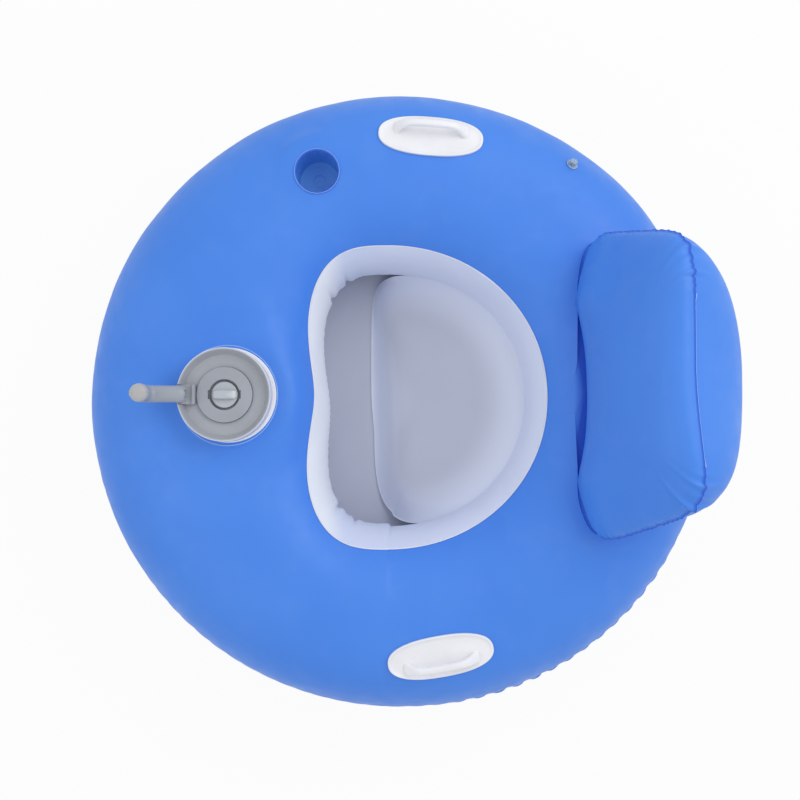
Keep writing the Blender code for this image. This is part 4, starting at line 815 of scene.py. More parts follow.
PALE = srgb(160, 198, 250)
FINISHES = {
    Slot.BLUE: Film("blue_film", srgb(66, 132, 230), srgb(73, 138, 235)),
    # Painted light: the dark blue plastic of the cup gets a far lighter colour, to offset the shade
    # in its depth.
    Slot.DARK_BLUE: Plastic("dark_blue_plastic", srgb(122, 200, 255), 0.34, wear=0.05),
    Slot.PALE_BLUE: Film("pale_blue_film", PALE, srgb(168, 204, 251), grain=0.00005),
    # The white film's rim tone is painted light on the front wall of the lining.
    Slot.WHITE: Film(
        "white_film", srgb(222, 228, 246), srgb(215, 222, 243), 0.50,
        creases=0.0003, rim=srgb(242, 244, 247),
    ),
    Slot.HANDLE: Plastic("white_plastic", srgb(248, 247, 249), 0.36, wear=0.0),
    Slot.CLEAR: ClearVinyl("clear_vinyl", srgb(190, 210, 236)),
    Slot.GREY: Plastic("grey_plastic", srgb(166, 170, 177), 0.42),
    Slot.RUBBER: Rubber("dark_rubber", srgb(58, 60, 64)),
    Slot.GRILLE: Plastic("grille_plastic", srgb(104, 110, 118), 0.45),
    Slot.STEEL: Metal("bright_steel", srgb(205, 207, 210)),
    Slot.CELL: Plastic("cell_jacket", srgb(70, 84, 104), 0.30, wear=0.02, coat=0.4),
    Slot.COPPER: Metal("copper_winding", srgb(184, 115, 74), 0.34),
    Slot.FERRITE: Rubber("ferrite", srgb(66, 67, 72), 0.56),
}

# Finishes of single pieces with painted light, shade or highlights, by their "tip" or "rim" values
# Painted light: the cup's colour is far lighter than its blue, to offset the shade in its depth;
# its tip tone is the rim's own blue.
CUP_PLASTIC = Plastic("cup_plastic", srgb(116, 194, 255), 0.34, wear=0.05, tip=srgb(66, 122, 222))
# Painted light: the dish is a little lighter than the grey plastic, to offset its shade; the tip
# tone is a painted highlight on the rim's outer edge.
DISH_PLASTIC = Plastic("dish_plastic", srgb(174, 177, 184), 0.44, tip=srgb(222, 223, 228))
# Painted light: the tip tone lightens the top of the grip, which faces the light.
TILLER_PLASTIC = Plastic("tiller_plastic", srgb(166, 172, 181), tip=srgb(182, 180, 180))
# Painted highlight: the tip tone lights the right end of the knob's bar.
KNOB_PLASTIC = Plastic("knob_plastic", srgb(190, 194, 200), 0.36, tip=srgb(226, 227, 229))
# Greyer copy of the white film for the floor sheet and pad: partly their own tone, partly painted
# shade of the sunken well; its rim tone is painted light where the pad rises.
SEAT_FILM = Film(
    "seat_film", srgb(189, 192, 206), srgb(184, 188, 203), 0.52,
    creases=0.0003, rim=srgb(216, 221, 238),
)


class Wardrobe:
    """Every finish of the object, built once, with the ways to dress a piece."""

    def __init__(self) -> None:
        """Build the materials of all slots and the tree for weld beads."""
        self.made = {slot: finish.make() for slot, finish in FINISHES.items()}
        self.special: dict[str, Material] = {}
        self.beads = bead_growth()

    def dress(
        self, obj: Piece, slot: Slot, body: str = "float", finish: Film | Plastic | None = None
    ) -> Piece:
        """Give a piece its finish and the body that it rides on, and log its slot.

        Args:
            obj: The piece.
            slot: Slot of its finish.
            body: CAD body that carries it.
            finish: A finish of its own instead of the slot's.

        Returns:
            The same piece.
        """
        material = self.made[slot]
        if finish is not None:
            if finish.name not in self.special:
                self.special[finish.name] = finish.make()
            material = self.special[finish.name]
        obj.data.materials.clear()
        obj.data.materials.append(material)
        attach(obj, body)
        faces = len(obj.data.polygons)
        LOG.info("%s: %d faces, %s, rides on %s", obj.name, faces, slot.value, body)
        return obj

    def bead(
        self, name: str, line: Array, size: Pair, slot: Slot, closed: bool = True, sides: int = 8
    ) -> Piece:
        """Lay a bead of a width and height along a line, and dress it.

        Args:
            name: Name of the piece.
            line: Places that the bead follows.
            size: Width and height of the bead in metres.
            slot: Slot of its finish.
            closed: Whether the last place joins the first.
            sides: Number of sides of its section.

        Returns:
            The bead.
        """
        values = {"Width": size[0], "Height": size[1], "Sides": sides, "Finish": self.made[slot]}
        return self.dress(self.beads.apply(name, line_mesh(name, line, closed), values), slot)

    def dress_cad_nodes(self) -> None:
        """Give every CAD node the finish of its record slot."""
        slots = {row["node"]: Slot(row["material_slot"]) for row in frame["record"]["subparts"]}
        for name, obj in frame["nodes"].items():
            obj.data.materials.clear()
            obj.data.materials.append(self.made[slots[name]])
            for polygon in obj.data.polygons:
                polygon.material_index = 0


# The ring's own form


@dataclass(frozen=True)
class RingForm:
    """Form of the inflated tube, which every soft piece and welded fitting is laid on.

    A swell has an angle and a width in degrees and a height. The seats of the drive and of the
    cup have a flat radius, the radius at which the flat has blended out, and a depth.
    """

    radius: float = 0.580
    squeeze: float = 0.011
    height: float = 0.300
    bottom_z: float = 0.130
    power: float = 2.3
    lip: float = 0.005
    centre_x: float = -0.022
    front: float = 0.154
    rear: float = 0.284
    half_width: float = 0.2705
    front_power: float = 3.06
    rear_power: float = 2.04
    bulge: float = 0.030
    notch_depth: float = 0.024
    notch_width: float = 0.128
    inner_notch: Point = (0.0150, 0.175, -0.090)
    swells: tuple[Point, ...] = ((40.0, 13.0, 0.0050), (-42.0, 24.0, 0.0042))
    floor_rise: float = 0.036
    floor_thick: float = 0.003
    drive_x: float = -0.307
    drive_seat: Point = (0.100, 0.175, 0.0072)
    cup: Pair = (-0.148, 0.400)
    cup_seat: Point = (0.051, 0.086, 0.0022)
    halvings: int = 36

    @property
    def mid_z(self) -> float:
        """Height of the tube's middle plane."""
        return self.bottom_z + self.height / 2

    @property
    def top_z(self) -> float:
        """Height of the tube's highest line."""
        return self.mid_z + self.height / 2

    @property
    def floor_z(self) -> float:
        """Height of the well floor's upper face."""
        return self.bottom_z + self.floor_rise + self.floor_thick

    def well_reach(self, turn: Array, notch: Point | None = None) -> Array:
        """Distance from the well centre to the blue and white seam at each angle.

        Args:
            turn: Angles in radians.
            notch: Depth, width and place along Y of the front notch, if not the seam's own.

        Returns:
            One distance for each angle.
        """
        depth, width, middle = notch or (self.notch_depth, self.notch_width, 0.0)
        rear = superellipse(turn, self.rear, self.half_width, self.rear_power)
        front = superellipse(turn, self.front, self.half_width, self.front_power)
        dip = depth * hump(front * np.sin(turn) - middle, width)
        return np.where(np.cos(turn) >= 0, rear, front - dip)

    def fullness(self, turn: Array) -> Array:
        """How much further out the tube swells behind, beside the backrest, at each angle."""
        degrees = np.degrees(np.arctan2(np.sin(turn), np.cos(turn)))
        return sum(height * hump(degrees - middle, width) for middle, width, height in self.swells)

    def reach(self, turn: Array) -> tuple[Array, Array]:
        """Inner and outer reach of the tube from the well centre at each angle.

        Args:
            turn: Angles in radians.

        Returns:
            The inner and the outer reach.
        """
        body = self.radius - self.lip
        square = np.cos(turn) ** 2 + (np.sin(turn) / (1 - self.squeeze)) ** 2
        lean = self.centre_x * np.cos(turn)
        outer = (-lean + np.sqrt(lean**2 + square * (body**2 - self.centre_x**2))) / square
        outer = outer + self.fullness(turn)
        return self.well_reach(turn, self.inner_notch) - self.bulge, outer

    def seated(self, x: Array, y: Array, rise: Array) -> Array:
        """Flatten the skin where the drive and the cup are welded on.

        Args:
            x: Places of the plan.
            y: The same.
            rise: Heights over the middle plane.

        Returns:
            The heights with the flats in them.
        """
        seats = ((self.drive_x, 0.0, *self.drive_seat, True), (*self.cup, *self.cup_seat, False))
        near = 0.03
        for centre_x, centre_y, flat, blend, depth, both in seats:
            away = np.hypot(x - centre_x, y - centre_y)
            weight = smooth((blend - away) / (blend - flat))
            inside = (rise > near) | ((rise < -near) & both)
            level = np.sign(rise) * (self.height / 2 - depth)
            rise = np.where(inside, rise + weight * (level - rise), rise)
        return rise

    def point(self, turn: Array, phase: Array) -> Array:
        """Places on the skin: turn goes round the ring, phase round the section.

        Args:
            turn: Angles in radians.
            phase: Angles in radians.

        Returns:
            Places in metres.
        """
        inner, outer = self.reach(turn)
        across = (outer - inner) / 2 * signed_power(np.cos(phase), 2 / self.power)
        rise = self.height / 2 * signed_power(np.sin(phase), 2 / self.power)
        reach = (inner + outer) / 2 + across
        x = self.centre_x + reach * np.cos(turn)
        y = reach * np.sin(turn)
        return np.stack([x, y, self.mid_z + self.seated(x, y, rise)], -1)

    def seam_phase(self, turn: Array) -> Array:
        """Phase of the blue and white seam at each angle."""
        inner, outer = self.reach(turn)
        share = 1 - 2 * (self.well_reach(turn) - inner) / (outer - inner)
        return math.pi - np.arccos(share ** (self.power / 2))

    def level_phase(self, turn: Array, height: float) -> Array:
        """Phase at which the inner wall comes down to a height below the middle plane.

        Args:
            turn: Angles in radians.
            height: Height over the ground.

        Returns:
            One phase for each angle.
        """
        above = np.full_like(turn, math.pi)
        low = np.full_like(turn, math.pi * 1.5)
        for _ in range(self.halvings):
            phase = (above + low) / 2
            high = self.point(turn, phase)[..., 2] > height
            above, low = np.where(high, phase, above), np.where(high, low, phase)
        return above

    def top(self, x: Array, y: Array) -> Array:
        """Height of the upper skin over places of the plan, or the middle plane outside.

        Args:
            x: Places along X.
            y: Places along Y.

        Returns:
            The height at each place.
        """
        turn = np.arctan2(y, x - self.centre_x)
        inner, outer = self.reach(turn)
        away = np.hypot(x - self.centre_x, y) - (inner + outer) / 2
        share = np.clip(np.abs(away) / ((outer - inner) / 2), 0, 1)
        rise = self.height / 2 * (1 - share**self.power) ** (1 / self.power)
        return self.mid_z + self.seated(x, y, rise)


FORM = RingForm()


@dataclass
class Assembly:
    """A sub-assembly of the chair, which dresses its pieces from the wardrobe."""

    wardrobe: Wardrobe


@dataclass
class RingChamber(Assembly):
    """Blue air chamber with its outer weld seam.

    The gathers of the outer seam are deepest between two angles, in degrees about the ring
    centre. They fade on both panels over a near and a far distance.
    """

    turns: int = 480
    lining_points: int = 12
    top_points: int = 66
    keel_points: int = 42
    lobes: int = 100
    gather: float = 0.0072
    faint_gather: float = 0.0008
    shallow: float = 0.0012
    gathered: Pair = (-92.0, -18.0)
    fades: Pair = (0.011, 0.042)
    hidden_back: float = 0.006
    drive_bore: float = 0.0790
    cup_bore: float = 0.0389
    cup_floor: float = 0.3368
    spare: float = 0.05
    handle_size: Pair = (0.0935, 0.0375)
    handle_sink: float = 0.0052
    slit_x: float = 0.3108
    slit_span: Pair = (-0.151, 0.161)
    slit_depth: float = 0.016
    slit_gap: float = 0.0056
    slit_bow: float = 0.045
    flange_points: int = 1440
    flange_half: float = 0.0007
    flange_edge: float = 0.0004
    bar: Point = (0.0020, 0.0007, 0.0003)

    def gathers(self, angle: Array) -> tuple[Array, Array]:
        """Depth of the outer seam's gathers and their lobe pattern at angles about the ring centre.

        Args:
            angle: Angles in radians about the ring's centre.

        Returns:
            The depth in metres, and 1 on a lobe to 0 in the fold between two.
        """
        degrees = np.degrees(angle)
        first, last = self.gathered
        strong = smooth((degrees - first) / 14) * smooth((last - degrees) / 16)
        depth = self.faint_gather + (self.gather - self.faint_gather) * strong
        depth = depth * (1 + 0.35 * np.sin(5 * angle + 0.6) + 0.25 * np.sin(11 * angle + 2.0))
        wander = 0.55 * np.sin(3 * angle + 1.0) + 0.30 * np.sin(8 * angle + 2.2)
        lobe = np.abs(np.cos(self.lobes * angle / 2 + wander)) ** 0.7
        return depth, lobe

    def rows(self) -> tuple[Array, int, int]:
        """Sections of the chamber from the well floor over the top and back below.

        Returns:
            The points, and the numbers of the points at the inner seam and at the outer seam.
        """
        turn = around(self.turns)
        seam = FORM.seam_phase(turn)[:, None]
        low = FORM.level_phase(turn, FORM.floor_z)[:, None]
        lining = low + (seam - low) * np.linspace(0, 1, self.lining_points)
        top = seam * (1 - eased(self.top_points)[1:])
        keel = (low - 2 * math.pi) * eased(self.keel_points)[1:-1]
        phases = np.concatenate([lining, top, keel], 1)
        inner = self.lining_points - 1
        return FORM.point(turn[:, None], phases), inner, inner + top.shape[1]

    def shaped_rows(self) -> Array:
        """Sections with the gathers, soft unevenness and the part behind the liner drawn back.

        Returns:
            Places, one section in each row.
        """
        rows, inner, outer = self.rows()
        normal = normals_of(rows)
        angle = np.arctan2(rows[..., 1], rows[..., 0])
        depth, lobe = self.gathers(angle)
        from_outer = np.abs(along(rows, outer))
        from_inner = along(rows, inner)
        fold = depth * (1 - lobe)
        proud = 0.55 * np.maximum(depth - self.shallow, 0.0) - fold
        near, far = (np.exp(-from_outer / fade) for fade in self.fades)
        lift = proud * (near + 0.38 * far)
        calm = smooth(from_outer / 0.05) * smooth((from_inner + 0.01) / 0.05)
        calm *= smooth((np.hypot(rows[..., 0] - FORM.drive_x, rows[..., 1]) - 0.098) / 0.05)
        lift += calm * (0.0006 * ripple(rows, 0.21, 3) + 0.00025 * ripple(rows, 0.07, 4))
        seam_fold = np.abs(np.sin(40 * angle + 1.5 * np.sin(3 * angle))) ** 3
        lift -= 0.0007 * seam_fold * np.exp(-np.abs(from_inner) / 0.008)
        lift -= self.hidden_back * smooth(-from_inner / 0.010)
        return rows + normal * lift[..., None]

    def build(self) -> None:
        """Make the chamber, its flange and the embossing of the weld."""
        ring = lofted("ring_chamber", self.shaped_rows(), closed=True)
        cut(ring, [*self.bore_tools(), self.slit_tool(), *self.handle_tools()], 50)
        self.paint_slit_shade(ring)
        self.wardrobe.dress(ring, Slot.BLUE)
        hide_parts("float_ring")
        self.build_flange()

    def bore_tools(self) -> list[Piece]:
        """Make the cutters of the bores for the drive unit and for the cup.

        Returns:
            The cutters.
        """
        keel = FORM.mid_z - FORM.height / 2 + FORM.drive_seat[2] - self.spare
        deck = FORM.top_z - FORM.drive_seat[2] + self.spare
        tools = []
        for name, radius, low, high, spot in (
            ("cut_drive", self.drive_bore, keel, deck, (FORM.drive_x, 0.0)),
            ("cut_cup", self.cup_bore, self.cup_floor, FORM.top_z + self.spare, FORM.cup),
        ):
            profile = [(0.0, low), (radius, low), (radius, high), (0.0, high)]
            tools.append(turned(name, profile, (*spot, 0.0), 64))
        return tools

    def handle_tools(self) -> list[Piece]:
        """Make the cutters of the flats that the grab handles are welded into.

        Returns:
            The cutters.
        """
        plan = bezel(around(72), self.handle_size, 2.4)
        rows = np.stack([levelled(plan, z) for z in (-self.handle_sink, 0.02)])
        tools = []
        for side in Side:
            seat = side.seat()
            flat = rows @ np.array(seat.to_3x3()).T + np.array(seat.translation)
            tools.append(lofted(f"cut_{side.value}", flat))
        return tools

    def slit_tool(self) -> Piece:
        """Make the cutter of the pocket that shows ahead of the backrest's base.

        Returns:
            The cutter.
        """
        share = np.linspace(-1, 1, 41)
        lens = 1 - np.abs(share) ** 1.7
        low, high = self.slit_span
        y = (low + high) / 2 + (high - low) / 2 * share
        kink = 0.0022 * hump(y - 0.012, 0.028)
        taper = 0.0046 * smooth((y - 0.020) / 0.045)
        front = self.slit_x - kink + taper + 0.0040 * np.clip(-y / 0.151, 0, 1) ** 1.5
        rear = self.slit_x + self.slit_gap + self.slit_bow * lens
        outline = np.concatenate([np.stack([front, y], -1), np.stack([rear, y], -1)[::-1]])
        levels = (FORM.top_z - self.slit_depth, FORM.top_z + 0.03)
        return lofted("cut_slit", np.stack([levelled(outline, z) for z in levels]))

    def paint_slit_shade(self, ring: Piece) -> None:
        """Paint shade inside the pocket, darker the deeper below the skin.

        Args:
            ring: The ring's piece.
        """
        spots = spots_of(ring)
        low, high = self.slit_span
        deep = FORM.top(spots[:, 0], spots[:, 1]) - spots[:, 2]
        inside = (spots[:, 0] > self.slit_x - 0.006) & (spots[:, 0] < self.slit_x + 0.056)
        inside &= (spots[:, 1] > low - 0.002) & (spots[:, 1] < high + 0.002)
        inside &= spots[:, 2] > FORM.mid_z + 0.02
        # Painted shade: the pocket darkens with its depth below the skin.
        tag(ring, "crease_shade", np.where(inside, smooth((deep - 0.0015) / 0.004), 0.0))

    def build_flange(self) -> None:
        """Make the flat weld flange round the ring, with its embossed bars."""
        angle = np.linspace(-math.pi, math.pi, self.flange_points, endpoint=False)
        depth, lobe = self.gathers(angle)
        pull = depth * (1 - lobe) - 0.4 * np.maximum(depth - self.shallow, 0.0)
        wave = 0.0006 * np.sin(self.lobes * angle * 0.5)
        wave = wave + 0.0016 * pull / 0.0034 * np.sin(self.lobes * angle)
        full = FORM.fullness(np.arctan2(np.sin(angle), np.cos(angle) - FORM.centre_x / FORM.radius))
        inner = FORM.radius - FORM.lip - 0.0022 - pull * 1.2 + full
        outer = FORM.radius - 0.0004 - pull * 0.9 + full
        half, edge = self.flange_half, outer - self.flange_edge
        section = [(inner, -half), (edge, -half), (outer, 0.0), (edge, half), (inner, half)]
        rows = [self.laid(reach, angle, wave + z) for reach, z in section]
        flange = lofted("ring_weld_flange", np.stack(rows, 1), closed=True, angle=60)
        self.wardrobe.dress(flange, Slot.BLUE)
        middle = (inner + outer) / 2 + 0.0012
        self.build_bars(self.laid(middle, angle, wave + half * 0.9)[::2], angle[::2])

    def laid(self, reach: Array, angle: Array, rise: Array) -> Array:
        """Places on the weld flange: reach and angle about the ring centre, rise over its plane."""
        y = reach * np.sin(angle) * (1 - FORM.squeeze)
        return np.stack([reach * np.cos(angle), y, FORM.mid_z + rise], -1)

    def build_bars(self, points: Array, turn: Array) -> None:
        """Emboss both faces of the flange with short bars that point outward.

        Args:
            points: Middle of each bar on the upper face.
            turn: Angle of each bar about the ring centre, in radians.
        """
        name = "ring_weld_bars"
        under = points - np.array([0, 0, 1.8 * self.flange_half])
        ahead = np.stack([np.cos(turn), np.sin(turn), 0 * turn], -1)
        up = np.tile([0.0, 0.0, 1.0], (len(points), 1))
        spots, facing, heading = (
            np.concatenate(pair) for pair in ((points, under), (up, -up), (ahead, ahead))
        )
        values = dict(zip(("Length", "Radius", "Height"), self.bar))
        values["Finish"] = self.wardrobe.made[Slot.BLUE]
        bars = stud_growth().apply(name, point_mesh(name, spots, facing, heading), values)
        self.wardrobe.dress(bars, Slot.BLUE)


class Side(Enum):
    """The two sides of the rider, with the frame in which each grab handle is welded on."""

    RIGHT = "right"
    LEFT = "left"

    @property
    def sign(self) -> int:
        """1 on the rider's right, which is +Y, and -1 on the left."""
        return 1 if self is Side.RIGHT else -1

    def seat(self) -> Matrix:
        """Frame of the handle: X along it, Y outward on the right side, Z off the skin.

        Returns:
            The frame as a matrix.
        """
        if self is Side.RIGHT:
            ahead, across = (0.996614, -0.081396, -0.011646), (0.076055, 0.966373, -0.245641)
            up, spot = (0.031249, 0.243923, 0.969291), (0.0550, 0.4640, 0.423403)
        else:
            ahead, across = (0.984906, 0.173073, 0.002476), (-0.169018, 0.958550, 0.229381)
            up, spot = (0.037326, -0.226337, 0.973334), (0.0715, -0.4585, 0.424145)
        matrix = Matrix((ahead, across, up)).transposed().to_4x4()
        matrix.translation = Vector(spot)
        return matrix


@dataclass
class SeatWell(Assembly):
    """White lining of the well, its seam, the floor sheet and the seat pad.

    Each pleat has its place in the plan and its depth. The pad is a wedge: pad_height at its
    front and pad_wedge more at its rear, where it climbs the wall in a fillet to pad_rim_z.
    """

    turns: int = 400
    wall_points: int = 44
    skin_gap: float = 0.0006
    thick: float = 0.0014
    tuck_back: float = 0.0045
    seam_overlap: float = 0.035
    seam_size: Pair = (0.0036, 0.0022)
    floor_centre: Point = (0.06, 0.0, 0.0)
    floor_sag: float = 0.0012
    floor_film: float = 0.0012
    pleats: tuple[Point, ...] = (
        (-0.134, 0.201, 0.0062), (-0.100, 0.222, 0.0054), (-0.118, -0.207, 0.0060),
        (-0.088, -0.240, 0.0052),
    )
    pad_centre: float = 0.080
    pad_front: float = 0.137
    pad_height: float = 0.031
    pad_wedge: float = 0.092
    pad_crown: float = 0.006
    pad_gap: float = -0.0006
    pad_roll: float = 0.044
    pad_fillet: float = 0.120
    pad_rim_z: float = 0.306
    pad_turns: int = 360
    pad_lift: float = 0.0008
    calm_width: int = 16
    corner_powers: Pair = (3.6, 9.0)

    def folds(self, rows: Array) -> Array:
        """Depth of the corner pleats and the finer creases at each place of the lining.

        Args:
            rows: Places of the lining.

        Returns:
            One depth for each place.
        """
        angle = np.arctan2(rows[..., 1], rows[..., 0] - FORM.centre_x)
        span = np.hypot(rows[..., 0] - FORM.centre_x, rows[..., 1])
        down = (FORM.mid_z + 0.09 - rows[..., 2]) / 0.22
        depth = np.zeros(rows.shape[:-1])
        for x, y, size in self.pleats:
            middle = math.atan2(y, x - FORM.centre_x)
            away = np.abs((angle - middle + math.pi) % (2 * math.pi) - math.pi) * span
            shown = smooth(down * 2.2)
            depth += size * hump(away, 0.0032) * shown * smooth(2.4 - 2.4 * down)
            depth -= 0.32 * size * hump(away - 0.010, 0.006) * shown
        front = smooth((-(rows[..., 0]) + 0.02) / 0.10)
        fine = np.abs(np.sin(34 * angle + 2.0 * np.sin(5 * angle))) ** 6
        depth += 0.0009 * fine * front * smooth(down * 1.6)
        return depth

    def wall_rows(self) -> tuple[Array, Array]:
        """Sections of the ring's skin from the floor up to the seam, and their normals.

        Returns:
            Places and unit normals.
        """
        turn = around(self.turns)
        seam = FORM.seam_phase(turn)[:, None] - self.seam_overlap
        low = FORM.level_phase(turn, FORM.floor_z + 0.001)[:, None]
        phases = low + (seam - low) * np.linspace(0, 1, self.wall_points)
        rows = FORM.point(turn[:, None], phases)
        return rows, normals_of(rows, (True, False))

    def build_wall(self) -> None:
        """Make the white lining with its pleats, as a thin closed shell."""
        rows, normal = self.wall_rows()
        folds = self.folds(rows)[..., None]
        upper = smooth((rows[..., 2:] - FORM.mid_z - 0.045) / 0.03)
        swell = 0.0006 * ripple(rows, 0.11, 7)[..., None] * upper
        face = rows + normal * (self.skin_gap + self.thick - folds + swell)
        back = rows + normal * (self.skin_gap - np.minimum(folds, self.tuck_back))
        rows = np.concatenate([face, back[:, ::-1]], 1)
        shell = lofted("well_liner", rows, closed=True, angle=70)
        # Painted light: the lining's front wall, which faces the light, is lighter.
        tag(shell, "rim", smooth((-0.095 - spots_of(shell)[:, 0]) / 0.045))
        self.wardrobe.dress(shell, Slot.WHITE)
        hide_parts("well_wall")

    def build_seam(self) -> None:
        """Make the thin bright bead where the white lining is welded to the blue top."""
        turn = around(self.turns)
        line = FORM.point(turn, FORM.seam_phase(turn) - self.seam_overlap)
        line[:, 2] += 0.0012
        self.wardrobe.bead("well_seam", line, self.seam_size, Slot.HANDLE)

    def build_floor(self) -> None:
        """Make the floor sheet, stretched between the foot of the lining."""
        turn = around(160)
        edge = FORM.point(turn, FORM.level_phase(turn, FORM.floor_z))
        centre = np.array(self.floor_centre)
        rows = []
        for share in np.linspace(0.998, 0.02, 40):
            ring = centre + (edge - centre) * np.array([share, share, 0.0])
            sag = self.floor_sag * (1 - share**2)
            ring[:, 2] = FORM.floor_z - sag + 0.0004 * ripple(ring, 0.08, 9) * (1 - share)
            rows.append(ring)
        top = np.stack(rows)
        under = top[::-1] - np.array([0.0, 0.0, self.floor_film])
        floor = lofted("floor_sheet", np.concatenate([under, top]), angle=60)
        self.wardrobe.dress(floor, Slot.WHITE, finish=SEAT_FILM)
        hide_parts("seat_floor")

    def pad_reach(self, turn: Array) -> Array:
        """Reach of the pad from its centre at each angle, up to the wall or to its front edge.

        Args:
            turn: Angles in radians.

        Returns:
            The reach in metres.
        """
        low, high = np.zeros_like(turn), np.full_like(turn, 0.5)
        for _ in range(FORM.halvings):
            reach = (low + high) / 2
            x = self.pad_centre + reach * np.cos(turn) - FORM.centre_x
            y = reach * np.sin(turn)
            inside = np.hypot(x, y) < FORM.reach(np.arctan2(y, x))[0] - self.pad_gap
            low, high = np.where(inside, reach, low), np.where(inside, high, reach)
        front = self.pad_front / np.maximum(-np.cos(turn), 0.02)
        left, right = self.corner_powers
        power = left + (right - left) * smooth(np.sin(turn) + 0.5)
        return (low**-power + front**-power) ** (-1 / power)

    def pad_rows(self) -> Array:
        """Sections of the pad from its underside over its edge and its fillet to the middle.

        Returns:
            Places, one section in each row.
        """
        turn = around(self.pad_turns)
        reach = self.pad_reach(turn)
        slope = (np.roll(reach, -1) - np.roll(reach, 1)) / (2 * (turn[1] - turn[0])) / reach

        def placed(inset: Array, z: Array) -> Array:
            """A section so far inside the outline and so high over the floor."""
            span = reach - inset
            x = self.pad_centre + span * np.cos(turn)
            return np.stack([x, span * np.sin(turn), self.pad_base + z], -1)

        high, free = self.pad_top(placed(0.0 * turn, 0.0 * turn), 0.0 * turn, slope)
        rows = [placed(reach * 0.6, 0.0 * turn), placed(0.010 + 0.0 * turn, 0.0 * turn)]
        for level in (0.08, 0.3, 0.6, 0.85):
            rows.append(placed(0.006 * (1 - free) * (1 - level), high * level))
        steps = [np.linspace(0, 1, 34) ** 1.8 * 0.5, np.linspace(0.53, 0.97, 22)]
        for step in np.concatenate(steps):
            flat = placed(step * reach, 0.0 * turn)
            high, _ = self.pad_top(flat, step * reach, slope)
            rows.append(placed(step * reach, np.maximum(high, 0.0002)))
        return np.stack(rows)

    @property
    def pad_base(self) -> float:
        """Height of the pad's underside."""
        return FORM.floor_z + self.pad_lift

    def pad_top(self, flat: Array, inset: Array, slope: Array) -> tuple[Array, Array]:
        """Height of the pad's upper face, and how far each place belongs to its free front edge.

        Args:
            flat: Places of the plan.
            inset: How far inside the outline each place lies.
            slope: How steeply the outline's reach grows with the angle.

        Returns:
            The height over the floor, and 0 at the wall to 1 at the front edge.
        """
        x, y = flat[:, 0], flat[:, 1]
        fade = 0.100 - 0.050 * np.clip(y / 0.2, -1, 1)
        free = smooth(1 - (x - self.pad_centre + self.pad_front) / fade)
        away = inset / np.sqrt(1 + slope**2)
        edge = 0.40 * smooth(away / self.pad_roll) + 0.60 * smooth(away / (1.9 * self.pad_roll))
        wedge = self.pad_wedge * np.clip((x + 0.047) / 0.240, 0, 1)
        climb = np.maximum(self.pad_rim_z - self.pad_base - self.pad_height - wedge, 0)
        near = np.clip(1 - inset / self.pad_fillet, 0, 1)
        round_up = 0.30 * near**2.6 + 0.70 * (1 - np.sqrt(1 - near**2.4))
        fillet = climb * smooth((x + 0.055) / 0.190) * round_up
        crown = self.pad_crown * smooth(inset / 0.12) - 0.004 * smooth((inset - 0.02) / 0.08)
        return (self.pad_height + wedge) * (1 - (1 - edge) * free) + fillet + crown, free

    def build_pad(self) -> None:
        """Make the seat pad, which rises in a fillet to the wall and rolls off at the front."""
        rows = self.pad_rows()
        normal = normals_of(rows, (False, True))
        inward = smooth((np.arange(len(rows))[:, None, None] - 8) / 8)
        rows = rows + normal * (0.0006 * ripple(rows, 0.09, 21))[..., None] * inward
        wide = self.calm_width
        calm = hump(np.arange(-wide, wide + 1), 7.0)
        level = np.concatenate([rows[..., -wide:, 2], rows[..., 2], rows[..., :wide, 2]], 1)
        level = np.stack([np.convolve(row, calm / calm.sum(), "valid") for row in level])
        rows[..., 2] += (level - rows[..., 2]) * inward[..., 0]
        pad = lofted("seat_pad", rows)
        spots = spots_of(pad)
        turn = np.arctan2(spots[:, 1], spots[:, 0] - self.pad_centre)
        inset = self.pad_reach(turn) - np.hypot(spots[:, 0] - self.pad_centre, spots[:, 1])
        # Painted light: the pad is lighter where it climbs the rear and side walls and over its
        # front roll, against the well's shade.
        walled = smooth((spots[:, 0] + 0.045) / 0.090)
        rear, front = smooth(1 - inset / 0.095), smooth(1.3 - inset / 0.060)
        tag(pad, "rim", walled * rear + 0.95 * (1 - walled) * front)
        self.wardrobe.dress(pad, Slot.WHITE, finish=SEAT_FILM)
        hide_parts("seat_cushion")

    def build(self) -> None:
        """Make every piece of the well."""
        self.build_wall()
        self.build_seam()
        self.build_floor()
        self.build_pad()


